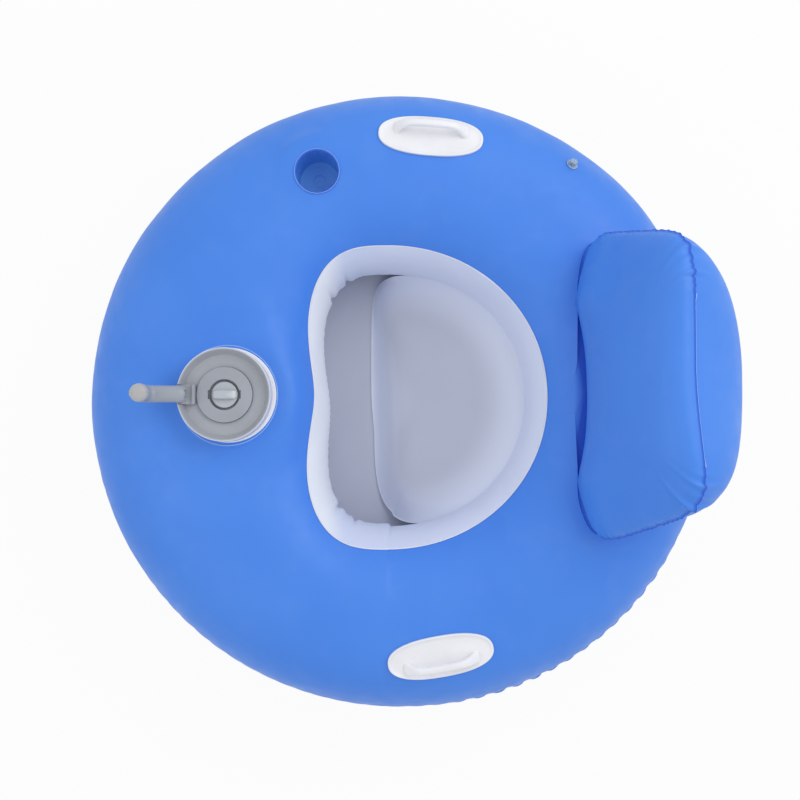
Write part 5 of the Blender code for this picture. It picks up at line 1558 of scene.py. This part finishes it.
@dataclass
class Backrest(Assembly):
    """Inflated back pillow: two film panels welded round their edge, lying on the ring's top.

    The weld outline stands in a plane from base to crown. The two flattenings say how much
    less each end of the rear panel swells, right and left. Each pleat has an angle on the
    outline in degrees, a depth, a width and a length.
    """

    base: Point = (0.318, 0.0070, 0.418)
    crown: Point = (0.470, 0.0070, 0.652)
    half_width: float = 0.279
    taper: float = 0.21
    lean: float = 0.026
    front_swell: float = 0.050
    rear_swell: float = 0.191
    base_power: float = 2.3
    top_power: float = 7.5
    swell_power: float = 2.5
    skew: float = 0.024
    flattening: Pair = (0.52, 0.34)
    columns: int = 800
    groove: float = 0.0034
    groove_width: float = 0.0024
    wander: float = 0.0011
    wander_step: float = 0.0045
    pucker: float = 0.0022
    pleats: tuple[tuple[float, float, float, float], ...] = (
        (158.5, 0.0052, 0.0050, 0.036), (151.0, 0.0034, 0.0040, 0.030),
        (27.0, 0.0036, 0.0046, 0.030), (35.0, 0.0026, 0.0040, 0.026),
    )
    corner_draw: float = 0.004
    slit_draw: float = 0.026
    corner_tuck: float = 0.015
    corner_swell: float = 0.008
    slit_half: float = 0.156
    clearance: float = 0.0009
    band_centre: Pair = (0.42, 0.005)
    band_size: Pair = (0.0100, 0.0026)
    fin_size: Pair = (0.0016, 0.0020)
    fin_side: int = 4

    def axes(self) -> tuple[Array, Array, Array, float]:
        """Centre, upward and forward directions and half height of the weld plane.

        Returns:
            The four of them in that order.
        """
        base, crown = np.array(self.base), np.array(self.crown)
        span = crown - base
        length = float(np.linalg.norm(span))
        up = span / length
        return (base + crown) / 2, up, np.array([-up[2], 0.0, up[0]]), length / 2

    def point(self, turn: Array, phase: Array, swell: Array | float) -> Array:
        """Places on the pillow, round the weld outline and from the weld to a panel's middle.

        Args:
            turn: Angles in radians round the outline.
            phase: Angles in radians from the weld plane.
            swell: Depth of the panel at its middle, negative for the rear panel.

        Returns:
            Places in metres.
        """
        centre, up, front, half = self.axes()
        scale = np.maximum(np.cos(phase), 0) ** (2 / self.swell_power)
        depth = swell * np.sin(phase) ** (2 / self.swell_power)
        upper = smooth((np.sin(turn) + 1) / 2)
        power = self.base_power + (self.top_power - self.base_power) * upper
        reach = superellipse(turn, self.half_width, half, power) * scale
        across, high = reach * np.cos(turn), reach * np.sin(turn)
        share = (high / half + 1) / 2
        aside = np.abs(across) / self.half_width
        rear = np.where(across > 0, *self.flattening) * aside**2.1
        flat = 1 - np.where(depth < 0, rear, 0.25 * aside**3)
        spot = centre + up * high[..., None] + front * (depth * flat)[..., None]
        spot[..., 1] += across * (1 - self.taper * share) + self.lean * share
        left = np.clip(-across / self.half_width, 0, 1)
        spot[..., 0] += self.skew * share * left**1.6 * scale
        return spot

    def even_turns(self) -> tuple[Array, Array]:
        """Angles that step evenly along the weld outline, and the distance run at each.

        Returns:
            Angles in radians and distances in metres.
        """
        fine = np.linspace(0, 2 * math.pi, 7201)
        line = self.point(fine, np.zeros_like(fine), 0.0)
        run = np.concatenate([[0.0], np.cumsum(np.linalg.norm(np.diff(line, axis=0), axis=1))])
        steps = np.linspace(0, run[-1], self.columns, endpoint=False)
        return np.interp(steps, run, fine), steps

    def phases(self, swell: float) -> Array:
        """Phases from the weld to the middle of a panel, closer together at the weld."""
        near = np.array([0, 0.6, 1.2, 1.9, 2.7, 3.7, 5, 7, 9.5, 13, 17.5, 23, 30, 38]) / 1000
        start = np.arcsin((near / swell) ** (self.swell_power / 2))
        return np.concatenate([start, np.linspace(start[-1], math.radians(88.5), 30)[1:]])

    def rows(self, turn: Array) -> tuple[Array, int]:
        """Sections from the front panel's middle to the rear one's, and the weld's number.

        Args:
            turn: Angles in radians round the outline.

        Returns:
            The sections, and the number of the one on the weld.
        """
        front = self.phases(self.front_swell)[::-1, None]
        rear = self.phases(self.rear_swell)[1:, None]
        ahead = self.point(turn[None, :], front, self.front_swell)
        behind = self.point(turn[None, :], rear, -self.rear_swell)
        return np.concatenate([ahead, behind]), len(front) - 1

    def tension(self, turn: Array) -> Array:
        """How much the weld puckers: little along the taut top edge, 1 on sides and corners."""
        across = np.cos(turn) / np.maximum(np.abs(np.cos(turn)), np.abs(np.sin(turn)) * 1.9)
        top = smooth((np.sin(turn) - 0.2) / 0.3)
        taut = top * smooth((0.80 - np.abs(across + 0.10)) / 0.25)
        return 1 - 0.88 * taut

    def puckers(self, turn: Array, steps: Array, away: Array) -> Array:
        """Depth of the creases that run from the weld into both panels.

        Args:
            turn: Angle of each column.
            steps: Distance of each column along the weld.
            away: Signed distance of each place from the weld.

        Returns:
            Depth at each place in metres.
        """
        rng = np.random.default_rng(17)
        total = steps[-1] + steps[1]
        pull = self.tension(turn)[None, :]
        depth = np.zeros_like(away)
        spot = 0.0
        while spot < total - 0.006:
            size = self.pucker * rng.uniform(0.35, 1.0)
            width = rng.uniform(0.0020, 0.0040)
            lengths = rng.uniform(0.006, 0.018, 2)
            long_front, long_rear = lengths * (2.2 if rng.random() < 0.16 else 1.0)
            gap = np.abs((steps - spot + total / 2) % total - total / 2)[None, :]
            long = np.where(away < 0, long_front, long_rear)
            open_up = width * (1 + np.abs(away) / 0.018)
            depth += size * pull * hump(gap, open_up) * np.exp(-np.abs(away) / long)
            spot += rng.uniform(0.007, 0.019)
        for degrees, size, width, long in self.pleats:
            middle = np.interp(math.radians(degrees), turn, steps)
            gap = np.abs((steps - middle + total / 2) % total - total / 2)[None, :]
            reach = np.exp(-((np.abs(away) / long) ** 1.5))
            depth += size * hump(gap, width) * reach
            depth -= 0.4 * size * hump(gap - 2.4 * width, 1.6 * width) * reach
        return depth

    def drawn_back(self, rows: Array) -> Array:
        """Draw the base's front edge back where the pillow stands clear of the ring.

        Args:
            rows: Sections of the pillow.

        Returns:
            The same sections, moved.
        """
        share = np.clip(1 - ((rows[..., 1] - 0.005) / self.slit_half) ** 2, 0, 1)
        height = rows[..., 2] - FORM.top(rows[..., 0], rows[..., 1])
        ahead = smooth((0.40 - rows[..., 0]) / 0.07)
        draw = self.corner_draw + self.slit_draw * share
        rows[..., 0] += ahead * smooth(1 - height / 0.17) * draw
        swell = self.corner_swell * hump(height - 0.055, 0.045)
        tuck = self.corner_tuck * smooth(1 - height / 0.040) - swell
        rows[..., 0] += ahead * (1 - share) * tuck
        return rows

    def weld_line(self, steps: Array, pull: Array) -> Array:
        """How far the weld wanders to and fro at each step, where it isn't taut."""
        marks = np.arange(0, steps[-1] + 0.02, self.wander_step)
        wander = np.interp(steps, marks, np.random.default_rng(5).normal(size=len(marks)))
        return self.wander * pull * np.clip(wander, -1.6, 1.6)

    def build(self) -> None:
        """Make the pillow, its weld and the weld band at its base."""
        turn, steps = self.even_turns()
        rows, weld = self.rows(turn)
        normal = -normals_of(rows, (False, True))
        away = along(rows.transpose(1, 0, 2), weld).T
        pull = self.tension(turn)
        near = away - self.weld_line(steps, pull)
        near = near / (self.groove_width * (0.75 + 0.35 * pull))
        lift = -self.groove * (0.75 + 0.45 * pull) * hump(near)
        lift -= self.puckers(turn, steps, away)
        lift += 0.0010 * ripple(rows, 0.16, 31) * smooth(np.abs(away) / 0.05)
        rows = self.drawn_back(rows + normal * lift[..., None])
        floor = FORM.top(rows[..., 0], rows[..., 1]) + self.clearance
        rows[..., 2] = np.maximum(rows[..., 2], floor)
        pillow = lofted("backrest", rows, angle=75)
        # Painted shade along the weld groove, darkest in its middle.
        tag_nearest(pillow, "crease_shade", rows.reshape(-1, 3), hump(near, 1.10).reshape(-1))
        self.wardrobe.dress(pillow, Slot.BLUE)
        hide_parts("backrest_pillow")
        side = weld + self.fin_side
        self.build_fin(rows[side], normal[side], pull)
        self.build_base_bands(rows)

    def build_base_bands(self, rows: Array) -> None:
        """Make the weld band that shows on the ring round each front corner of the pillow.

        Args:
            rows: Sections of the pillow.
        """
        low = rows[rows[..., 2] < 0.50]
        centre_x, centre_y = self.band_centre
        away = low[:, :2] - np.array(self.band_centre)
        heading = np.degrees(np.arctan2(away[:, 1], away[:, 0]))
        span = np.hypot(away[:, 0], away[:, 1])
        for word, first, last in (("right", 98.0, 124.0), ("left", -128.0, -98.0)):
            spots = np.linspace(first, last, 48)
            reach = np.array([span[np.abs(heading - spot) < 1.2].max() for spot in spots])
            reach = np.convolve(np.pad(reach, 4, "edge"), np.ones(9) / 9, "valid")
            ends = np.minimum((spots - first) / 12, (last - spots) / 12).clip(0, 1)
            reach = reach + 0.0004 - 0.012 * (1 - smooth(ends))
            x = centre_x + reach * np.cos(np.radians(spots))
            y = centre_y + reach * np.sin(np.radians(spots))
            line = np.stack([x, y, FORM.top(x, y) + 0.0006], -1)
            name = f"backrest_{word}_base_band"
            self.wardrobe.bead(name, line, self.band_size, Slot.BLUE, closed=False, sides=10)

    def build_fin(self, line: Array, normal: Array, pull: Array) -> None:
        """Make the trimmed film edge, which stands up beside the weld where that is taut.

        Args:
            line: Places of the skin beside the weld.
            normal: Outward direction at each place.
            pull: How much the weld puckers at each place.
        """
        sunk = smooth((pull - 0.15) / 0.5)
        line = line + normal * (0.0006 - 0.0030 * sunk)[:, None]
        shown = sunk < 0.9
        first = int(np.argmax(~shown))
        line = np.roll(line, -first, 0)[np.roll(shown, -first)]
        # Painted highlight: the film edge is pale blue, on top of the light that its own shape
        # catches.
        name = "backrest_weld_edge"
        self.wardrobe.bead(name, line, self.fin_size, Slot.PALE_BLUE, closed=False, sides=6)


@dataclass
class CupHolder(Assembly):
    """Drop-in cup with a rolled rim and a drain step in its floor."""

    bore: float = 0.0370
    wall: float = 0.0015
    mouth: float = 0.0396
    rim: float = 0.0410
    rim_thick: float = 0.0030
    rim_z: float = 0.4273
    depth: float = 0.090
    floor: float = 0.003
    drain: float = 0.0022
    line_size: Pair = (0.0011, 0.0008)

    def build(self) -> None:
        """Make the cup."""
        outer, low, high = self.bore + self.wall, self.rim_z - self.depth, self.rim_z
        brim = high + self.rim_thick
        profile = rounded(
            [
                (0.0, low), (outer, low), (outer, high), (self.rim, high), (self.rim, brim),
                (self.mouth, brim), (self.bore, high - 0.0010), (self.bore, low + self.floor),
                (0.012, low + self.floor), (0.011, low + self.drain), (0.0, low + self.drain),
            ],
            {1: 0.006, 4: 0.0010, 5: 0.0003, 6: 0.0020, 7: 0.005},
        )
        cup = turned("cup_shell", profile, (*FORM.cup, 0.0), 128)
        # The lower inside keeps the cup's lightened colour, painted light against the shade in its
        # depth; the top shows the rim's own blue.
        tag(cup, "tip", smooth((spots_of(cup)[:, 2] - high + 0.060) / 0.040))
        self.wardrobe.dress(cup, Slot.DARK_BLUE, finish=CUP_PLASTIC)
        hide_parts("cup_holder")
        self.build_rim_line()

    def build_rim_line(self) -> None:
        """Make a thin pale blue line along the top of the rim."""
        centre = (*FORM.cup, self.rim_z + self.rim_thick - 0.0002)
        line = circle(self.rim - 0.0009, centre)
        self.wardrobe.bead("cup_rim_line", line, self.line_size, Slot.PALE_BLUE)


@dataclass
class GrabHandle(Assembly):
    """Oval moulded plate with a raised edge and a bridge grip over its outer half."""

    side: Side
    half: Pair = (0.094, 0.038)
    oval_power: float = 2.4
    low: float = -0.0047
    floor: float = -0.0012
    lip: float = 0.0023
    span: float = 0.118
    rise: float = 0.026
    arch_power: float = 4.6
    offset: float = 0.0125
    width: float = 0.0132
    deep: float = 0.011

    def plate_rows(self) -> Array:
        """Sections of the plate from its underside over the rolled lip into the dish.

        Returns:
            Places, one section in each row.
        """
        turn = around(144)
        rows = []
        for inset, z in (
            (0.050, self.low), (0.0040, self.low), (0.0012, self.low + 0.0006),
            (0.0002, self.low + 0.0020), (0.0, self.lip - 0.0016), (0.0003, self.lip - 0.0006),
            (0.0010, self.lip - 0.0001), (0.0019, self.lip), (0.0030, self.lip - 0.0003),
            (0.0042, self.lip - 0.0013), (0.0056, self.floor + 0.0012),
            (0.0080, self.floor + 0.0004), (0.0120, self.floor), (0.0200, self.floor + 0.0002),
            (0.0300, self.floor + 0.0008), (0.0365, self.floor + 0.0010),
        ):
            halves = (self.half[0] - inset, self.half[1] - min(inset, 0.0368))
            rows.append(levelled(bezel(turn, halves, self.oval_power), z))
        return np.stack(rows)

    def grip_rows(self) -> Array:
        """Sections of the bridge grip, flared where it grows out of the plate.

        Returns:
            Places, one section in each row.
        """
        share = np.sin(np.linspace(-0.5, 0.5, 73) * math.pi)
        turn = around(28)[None, :]
        x = self.span / 2 * share * (1 + 0.06 * share**2)
        z = self.floor - 0.001 + self.rise * (1 - np.abs(share) ** self.arch_power)
        tangent = np.stack([np.gradient(x), np.zeros_like(x), np.gradient(z)], -1)
        tangent /= np.linalg.norm(tangent, axis=-1, keepdims=True)
        normal = np.stack([-tangent[:, 2], np.zeros_like(x), tangent[:, 0]], -1)[:, None, :]
        flare = (1 + 0.9 * np.abs(share) ** 6)[:, None]
        across = signed_power(np.cos(turn), 0.8) * self.width / 2 * flare
        high = signed_power(np.sin(turn), 0.8) * self.deep / 2
        rows = np.stack([x, np.zeros_like(x), z], -1)[:, None, :] + normal * high[..., None]
        rows[..., 1] += self.side.sign * self.offset + across
        return rows

    def build(self) -> None:
        """Make the handle and set it on the ring."""
        plate = lofted(f"{self.side.value}_handle", self.plate_rows(), angle=60)
        grip = lofted("grip", self.grip_rows(), angle=60)
        cut(grip, [block("stop", (-0.1, -0.05, -0.05), (0.1, 0.05, self.low + 0.0010))], 60)
        cut(plate, [grip], NO_EDGES, "UNION")
        plate.data.transform(self.side.seat())
        shade(plate.data, 42)
        self.wardrobe.dress(plate, Slot.HANDLE)
        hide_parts(f"{self.side.value}_grab_handle")


@dataclass
class DriveSeat(Assembly):
    """What is welded into the ring for the drive unit: film patch, weld line and white collar."""

    bore: float = 0.0783
    patch: float = 0.0930
    patch_z: float = 0.4221
    patch_thick: Pair = (0.0014, 0.0017)
    collar: Pair = (0.0760, 0.0840)
    collar_shift: Pair = (0.0044, 0.0005)
    collar_z: Pair = (0.4239, 0.4280)
    weld: float = 0.0887
    weld_shift: float = 0.0015
    weld_size: Pair = (0.0028, 0.0016)

    def build(self) -> None:
        """Make the patch, the weld line and the collar."""
        base = (FORM.drive_x, 0.0, 0.0)
        low = self.patch_z
        edge, inside = (low + thick for thick in self.patch_thick)
        profile = [(self.bore, low), (self.patch, low), (self.patch, edge), (self.bore, inside)]
        patch = turned("weld_patch", rounded(profile, {2: 0.0008}), base, 128)
        self.wardrobe.dress(patch, Slot.BLUE)
        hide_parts("weld_flange")
        line = circle(self.weld, (FORM.drive_x + self.weld_shift, 0.0, edge))
        self.wardrobe.bead("drive_weld_line", line, self.weld_size, Slot.PALE_BLUE)
        inner, outer = self.collar
        low, high = self.collar_z
        corners = [(inner, low), (outer, low), (outer, high), (inner, high)]
        profile = rounded(corners, {2: 0.0026, 3: 0.0006})
        collar = turned("upper_collar", profile, base, 160)
        for vertex in collar.data.vertices:
            away = math.hypot(vertex.co.x - base[0], vertex.co.y)
            share = float(smooth((away - inner - 0.0005) / (outer - inner - 0.0010)))
            vertex.co.x += self.collar_shift[0] * share
            vertex.co.y += self.collar_shift[1] * share
        self.wardrobe.dress(collar, Slot.HANDLE)
        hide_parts("drive_collar")


@dataclass
class DriveHead(Assembly):
    """Dished cap of the turning canister with its battery lid and quarter-turn knob.

    Heights are given over the deck. Each level of the knob's bar has a height, a half length
    and a half width.
    """

    deck: float = 0.422
    floor: float = 0.0262
    rim: float = 0.0450
    rim_out: float = 0.0822
    lid_rise: float = 0.0330
    recess: Pair = (0.0270, 0.0200)
    knob: float = 0.0230
    knob_rise: float = 0.0293
    bar: tuple[Point, ...] = (
        (0.0265, 0.0221, 0.0082), (0.0300, 0.0221, 0.0082), (0.0330, 0.0217, 0.0081),
        (0.0362, 0.0204, 0.0079), (0.0383, 0.0189, 0.0075), (0.0393, 0.0174, 0.0069),
        (0.0398, 0.0152, 0.0058),
    )

    @property
    def base(self) -> Point:
        """Foot of the axis that the canister turns about."""
        return (FORM.drive_x, 0.0, self.deck)

    def mirrored(self, name: str, low: Point, high: Point) -> list[Piece]:
        """A box given from the foot of the axis, and its mirror image across X or Y.

        Args:
            name: Name of the boxes.
            low: Lower corner of the box on the positive side.
            high: Its upper corner. The axis along which both corners lie off zero is mirrored.

        Returns:
            The two boxes.
        """
        axis = 0 if low[0] > 0 else 1
        boxes = []
        for sign in (1, -1):
            ends = sorted((sign * low[axis], sign * high[axis]))
            first, last = list(low), list(high)
            first[axis], last[axis] = ends
            boxes.append(block(name, moved(self.base, first), moved(self.base, last)))
        return boxes

    def build_cap(self) -> None:
        """Make the cap: spigot, floor, sloped wall, rolled rim with its notch, and canister."""
        out = self.rim_out
        profile = rounded(
            [
                (0.0438, 0.0110), (0.0438, 0.0280), (0.0460, 0.0280), (0.0460, 0.0140),
                (0.0494, 0.0140), (0.0494, self.floor), (0.0708, self.floor + 0.0006),
                (0.0776, self.rim - 0.0022), (0.0788, self.rim), (out - 0.0012, self.rim),
                (out, self.rim - 0.0014), (out, 0.0063), (0.0782, 0.0063), (0.0782, 0.0340),
                (0.0750, 0.0340), (0.0750, -0.1200), (0.0720, -0.1200), (0.0720, 0.0110),
            ],
            {1: 0.0006, 2: 0.0008, 5: 0.0006, 6: 0.0016, 11: 0.0008}
            | dict.fromkeys(range(7, 11), 0.0010),
        )
        cap = turned("dished_cap", profile, self.base, 160)
        ears = self.mirrored("ear", (-0.007, 0.036, 0.0160), (0.007, 0.0448, 0.0195))
        cut(cap, ears, 35, "UNION")
        low, high = (-0.0856, -0.0175, 0.0300), (-0.0660, 0.0175, 0.0600)
        cut(cap, [block("notch", moved(self.base, low), moved(self.base, high))], 35)
        # Painted highlight: the rim's outer edge and outer wall are near white.
        spots = spots_of(cap) - np.array(self.base)
        outside = smooth((np.hypot(spots[:, 0], spots[:, 1]) - 0.0800) / 0.0010)
        tag(cap, "tip", outside * (spots[:, 2] > 0))
        self.wardrobe.dress(cap, Slot.GREY, "drive", finish=DISH_PLASTIC)
        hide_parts("top_housing")

    def build_lid(self) -> None:
        """Make the battery lid, with two finger notches in the wall of its knob recess."""
        wall, low = self.recess
        profile = rounded(
            [
                (0.0053, low - 0.0030), (0.0053, low), (wall, low), (wall, self.lid_rise),
                (0.0490, self.lid_rise - 0.0004), (0.0490, 0.0143), (0.0463, 0.0143),
                (0.0463, 0.0300), (0.0300, 0.0300), (0.0300, low - 0.0030),
            ],
            {2: 0.0012, 3: 0.0011, 4: 0.0016, 5: 0.0006},
        )
        lid = turned("battery_cover", profile, self.base, 160)
        ends = (0.0240, -0.0076, low + 0.0012), (0.0288, 0.0076, self.lid_rise + 0.004)
        cut(lid, self.mirrored("finger_notch", *ends), 35)
        self.wardrobe.dress(lid, Slot.GREY, "lid")
        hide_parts("battery_lid")

    def build_knob(self) -> None:
        """Make the knob: spindle, disc and the rounded bar that fingers turn."""
        rise, foot = self.knob_rise, 0.0203
        corners = [(0.0, 0.0100), (0.0050, 0.0100), (0.0050, foot)]
        corners += [(self.knob, foot), (self.knob, rise), (0.0, rise)]
        knob = turned("latch_knob", rounded(corners, {4: 0.0014}), self.base, 128)
        turn = around(96)
        rows = [levelled(bezel(turn, (long, wide), 5.0), z) for z, long, wide in self.bar]
        cut(knob, [lofted("bar", np.stack(rows) + np.array(self.base))], 32, "UNION")
        # Painted highlight on the top of the bar's right end.
        spots = spots_of(knob) - np.array(self.base)
        painted_highlight = smooth((spots[:, 0] - 0.0110) / 0.008)
        painted_highlight = painted_highlight * smooth((spots[:, 2] - rise - 0.0008) / 0.002)
        tag(knob, "tip", 0.8 * painted_highlight * smooth((0.0092 - np.abs(spots[:, 1])) / 0.001))
        self.wardrobe.dress(knob, Slot.GREY, "knob", finish=KNOB_PLASTIC)
        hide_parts("lid_knob")

    def build(self) -> None:
        """Make every piece of the head."""
        self.build_cap()
        self.build_lid()
        self.build_knob()


@dataclass
class Tiller(Assembly):
    """Short cranked tiller in two half shells, with a push button in its grip.

    Places are given from the pivot.
    """

    pivot: Point = (-0.3815, 0.0, 0.477)
    tube: float = 0.0147
    grip: float = 0.0160
    grip_x: float = -0.0605
    elbow: float = 0.0220
    top: float = 0.0570
    crown: float = 0.0100
    wall: float = 0.0025
    seam: float = 0.0008
    seam_width: float = 0.0006
    button_z: float = 0.0330
    button_half: Pair = (0.0065, 0.0100)

    def path(self) -> Array:
        """Stations of the centreline from knuckle to crown: x, z and the radius.

        Returns:
            One station in each row.
        """
        made = [(self.tube * 0.999, 0.0, self.tube * 0.05)]
        for turn in np.radians(np.linspace(12, 78, 9)):
            made.append((self.tube * math.cos(turn), 0.0, self.tube * math.sin(turn)))
        for x in np.linspace(0.0, self.grip_x + self.elbow + 0.002, 8):
            made.append((float(x), 0.0, self.tube))
        for turn in np.radians(np.linspace(0, 90, 16)):
            x = self.grip_x + self.elbow - self.elbow * math.sin(turn)
            z = self.elbow - self.elbow * math.cos(turn)
            made.append((x, z, self.tube + (self.grip - 0.0003 - self.tube) * turn / (math.pi / 2)))
        for share in (0.15, 0.35, 0.6, 0.85, 1.0):
            z = self.elbow + (self.top - self.crown - self.elbow) * share
            made.append((self.grip_x, z, self.grip))
        for turn in np.radians(np.linspace(9, 88, 12)):
            high = self.top - self.crown + self.crown * math.sin(turn)
            made.append((self.grip_x, high, self.grip * max(math.cos(turn), 0.04) ** 0.9))
        return np.array(made)

    def swept(self, name: str, path: Array, shrink: float, groove: float) -> Piece:
        """A round bar along stations, with a groove where the half shells meet.

        Args:
            name: Name of the piece.
            path: Stations of the centreline.
            shrink: How far inside the outer skin.
            groove: Depth of the groove.

        Returns:
            The solid, set on its pivot.
        """
        extra = np.radians([-6, -4, -2.6, -1.4, 0, 1.4, 2.6, 4, 6])
        even = around(48)
        clear = np.abs(np.abs(np.abs(even - math.pi) - math.pi / 2)) > math.radians(7)
        turn = np.sort(np.concatenate([even[clear], math.pi / 2 + extra, 1.5 * math.pi + extra]))
        line = np.stack([path[:, 0], 0 * path[:, 0], path[:, 1]], -1)
        tangent = np.gradient(line, axis=0)
        tangent /= np.linalg.norm(tangent, axis=1, keepdims=True)
        side = np.stack([-tangent[:, 2], 0 * tangent[:, 0], tangent[:, 0]], -1)
        radius = np.maximum(path[:, 2] - shrink, 0.0006)[:, None]
        across = radius * np.cos(turn)
        crowned = 0.02 + 0.98 * smooth((path[:, 1] - 0.040) / 0.008)[:, None]
        sunk = groove * crowned * hump(across, self.seam_width)
        reach = radius - sunk * smooth(radius / 0.006)
        rows = line[:, None, :] + side[:, None, :] * (reach * np.sin(turn))[..., None]
        rows[..., 1] += reach * np.cos(turn)
        return lofted(name, rows + np.array(self.pivot))

    def box(self, name: str, low: Point, high: Point) -> Piece:
        """A box given from the pivot, as a tool."""
        return block(name, moved(self.pivot, low), moved(self.pivot, high))

    def build_shell(self, side: Side) -> None:
        """Make one half shell, hollow, with its place for the tongue, the pin and the button.

        Args:
            side: The side that the half lies on.
        """
        path = self.path()
        shell = self.swept(f"tiller_{side.value}_half", path, 0.0, self.seam)
        inside = path[(path[:, 1] > 0.0005) & (path[:, 1] < self.top - self.crown + 0.001)]
        hollow = self.swept("hollow", inside, self.wall + 0.0006, 0.0)
        low, high = sorted((-side.sign * 0.05, side.sign * 0.00002))
        split = self.box("split", (-0.13, low, -0.04), (0.04, high, 0.12))
        slot = self.box("slot", (-0.0097, -0.0069, -0.0167), (0.0167, 0.0069, 0.0095))
        bore = self.cylinder("pin", 0.0033, 0.0133)
        outside = self.grip_x - self.grip - 0.01
        low, high = self.button_z - 0.0103, self.button_z + 0.0103
        window = self.box("window", (outside, -0.0068, low), (self.grip_x, 0.0068, high))
        cut(shell, [hollow, split, slot, bore, window], 50)
        # Painted light: the top of the grip, which faces the light, is lighter.
        high_z = spots_of(shell)[:, 2] - self.pivot[2]
        tag(shell, "tip", smooth((high_z - 0.030) / 0.014))
        self.wardrobe.dress(shell, Slot.GREY, "tiller", finish=TILLER_PLASTIC)
        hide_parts(f"tiller_{side.value}_shell")

    def cylinder(self, name: str, radius: float, half: float) -> Piece:
        """A round tool across the pivot."""
        turn = around(32)
        x, z = radius * np.cos(turn), radius * np.sin(turn)
        rows = [np.stack([x, np.full_like(x, y), z], -1) for y in (-half, half)]
        return lofted(name, np.stack(rows) + np.array(self.pivot))

    def build_button(self) -> None:
        """Make the push button, with the flange that keeps it in the grip."""
        skin = self.grip_x - self.grip - 0.0004
        turn = around(64)
        rows = []
        for depth, inset in (
            (-0.0020, 0.0036), (-0.0018, 0.0018), (-0.0012, 0.0007), (-0.0004, 0.0001),
            (0.0004, 0.0), (0.0070, 0.0), (0.0071, -0.0013), (0.0091, -0.0013),
        ):
            y, z = bezel(turn, tuple(half - inset for half in self.button_half), 5.0).T
            row = np.stack([np.full_like(y, skin + depth), y, z + self.button_z], -1)
            rows.append(row + np.array(self.pivot))
        button = lofted("push_button", np.stack(rows), angle=50)
        self.wardrobe.dress(button, Slot.GREY, "button")
        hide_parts("control_button")

    def build(self) -> None:
        """Make both half shells and the button."""
        for side in Side:
            self.build_shell(side)
        self.build_button()


@dataclass
class Studio:
    """Plain pale floor, soft light and a camera looking down on the chair."""

    lens: float = 57.4
    camera_at: Point = (0.0, -0.110, 2.68)
    target: Point = (0.0, -0.0015, 0.28)
    floor_half: float = 9.0
    floor_z: float = -0.0006
    floor_white: float = 0.93
    lamps: tuple[tuple[str, Point, float, float], ...] = (
        ("key_light", (2.0, 1.3, 2.8), 2.6, 34.0),
        ("fill_light", (-2.2, -0.4, 2.6), 2.4, 8.0),
    )

    def build_camera(self) -> None:
        """Make the camera, with +Y up in the picture."""
        data = bpy.data.cameras.new("camera")
        data.lens = self.lens
        data.sensor_width = 36.0
        camera = bpy.data.objects.new("camera", data)
        bpy.context.scene.collection.objects.link(camera)
        back = (Vector(self.camera_at) - Vector(self.target)).normalized()
        side = Vector((1.0, 0.0, 0.0))
        up = back.cross(side)
        matrix = Matrix((side, up, back)).transposed().to_4x4()
        matrix.translation = self.camera_at
        camera.matrix_world = matrix
        bpy.context.scene.camera = camera

    def build_floor(self) -> None:
        """Make the floor, which the camera sees as white apart from the object's shadow."""
        half, z = self.floor_half, self.floor_z
        corners = [(-half, -half, z), (half, -half, z), (half, half, z), (-half, half, z)]
        mesh = bpy.data.meshes.new("studio_floor")
        mesh.from_pydata(corners, [], [(0, 1, 2, 3)])
        floor = new_object("studio_floor", mesh)
        shader = Shader("studio_floor", 0.9)
        shader.give({"Base Color": (0.82, 0.82, 0.83, 1.0)})
        paths = shader.add("ShaderNodeLightPath").outputs
        seen = paths["Is Camera Ray"]
        for word in ("Is Glossy Ray", "Is Transmission Ray"):
            seen = shader.add("ShaderNodeMath", {0: seen, 1: paths[word]}, operation="MAXIMUM")
        share = shader.add("ShaderNodeMath", {0: seen, 1: self.floor_white}, operation="MULTIPLY")
        glow = shader.add("ShaderNodeEmission", {"Strength": 1.0})
        blend = shader.add("ShaderNodeMixShader", {0: share, 1: shader.surface, 2: glow})
        shader.feed(shader.tree.nodes["Material Output"].inputs["Surface"], blend)
        mesh.materials.append(shader.material)

    def build_light(self) -> None:
        """Make the soft key light, a fill and the pale surroundings."""
        for name, spot, size, power in self.lamps:
            data = bpy.data.lights.new(name, "AREA")
            data.shape = "DISK"
            data.size = size
            data.energy = power
            lamp = bpy.data.objects.new(name, data)
            bpy.context.scene.collection.objects.link(lamp)
            lamp.location = spot
            aim = Vector((0, 0, 0.3)) - Vector(spot)
            lamp.rotation_euler = aim.to_track_quat("-Z", "Y").to_euler()
        world = bpy.data.worlds.new("pale_room")
        world.use_nodes = True
        bpy.context.scene.world = world
        nodes = Nodes(world.node_tree)
        room = nodes.tree.nodes["Background"]
        nodes.feed(room.inputs["Color"], (0.93, 0.96, 1.0, 1.0))
        nodes.feed(room.inputs["Strength"], 0.78)
        plain = {"Color": (1.0, 1.0, 1.0, 1.0), "Strength": 1.0}
        white = nodes.add("ShaderNodeBackground", plain)
        seen = nodes.add("ShaderNodeLightPath").outputs["Is Camera Ray"]
        blend = nodes.add("ShaderNodeMixShader", {0: seen, 1: room, 2: white})
        nodes.feed(nodes.tree.nodes["World Output"].inputs["Surface"], blend)

    def build(self) -> None:
        """Make the whole studio."""
        self.build_camera()
        self.build_floor()
        self.build_light()
        bpy.context.scene.view_settings.view_transform = "Standard"


def main() -> None:
    """Build the studio and every sub-assembly in order."""
    logging.basicConfig(level=logging.INFO, format="%(name)s %(message)s")
    Studio().build()
    wardrobe = Wardrobe()
    wardrobe.dress_cad_nodes()
    for assembly in (RingChamber, SeatWell, Backrest, CupHolder):
        assembly(wardrobe).build()
    for side in Side:
        GrabHandle(wardrobe, side).build()
    for assembly in (DriveSeat, DriveHead, Tiller):
        assembly(wardrobe).build()


if __name__ == "__main__":
    main()
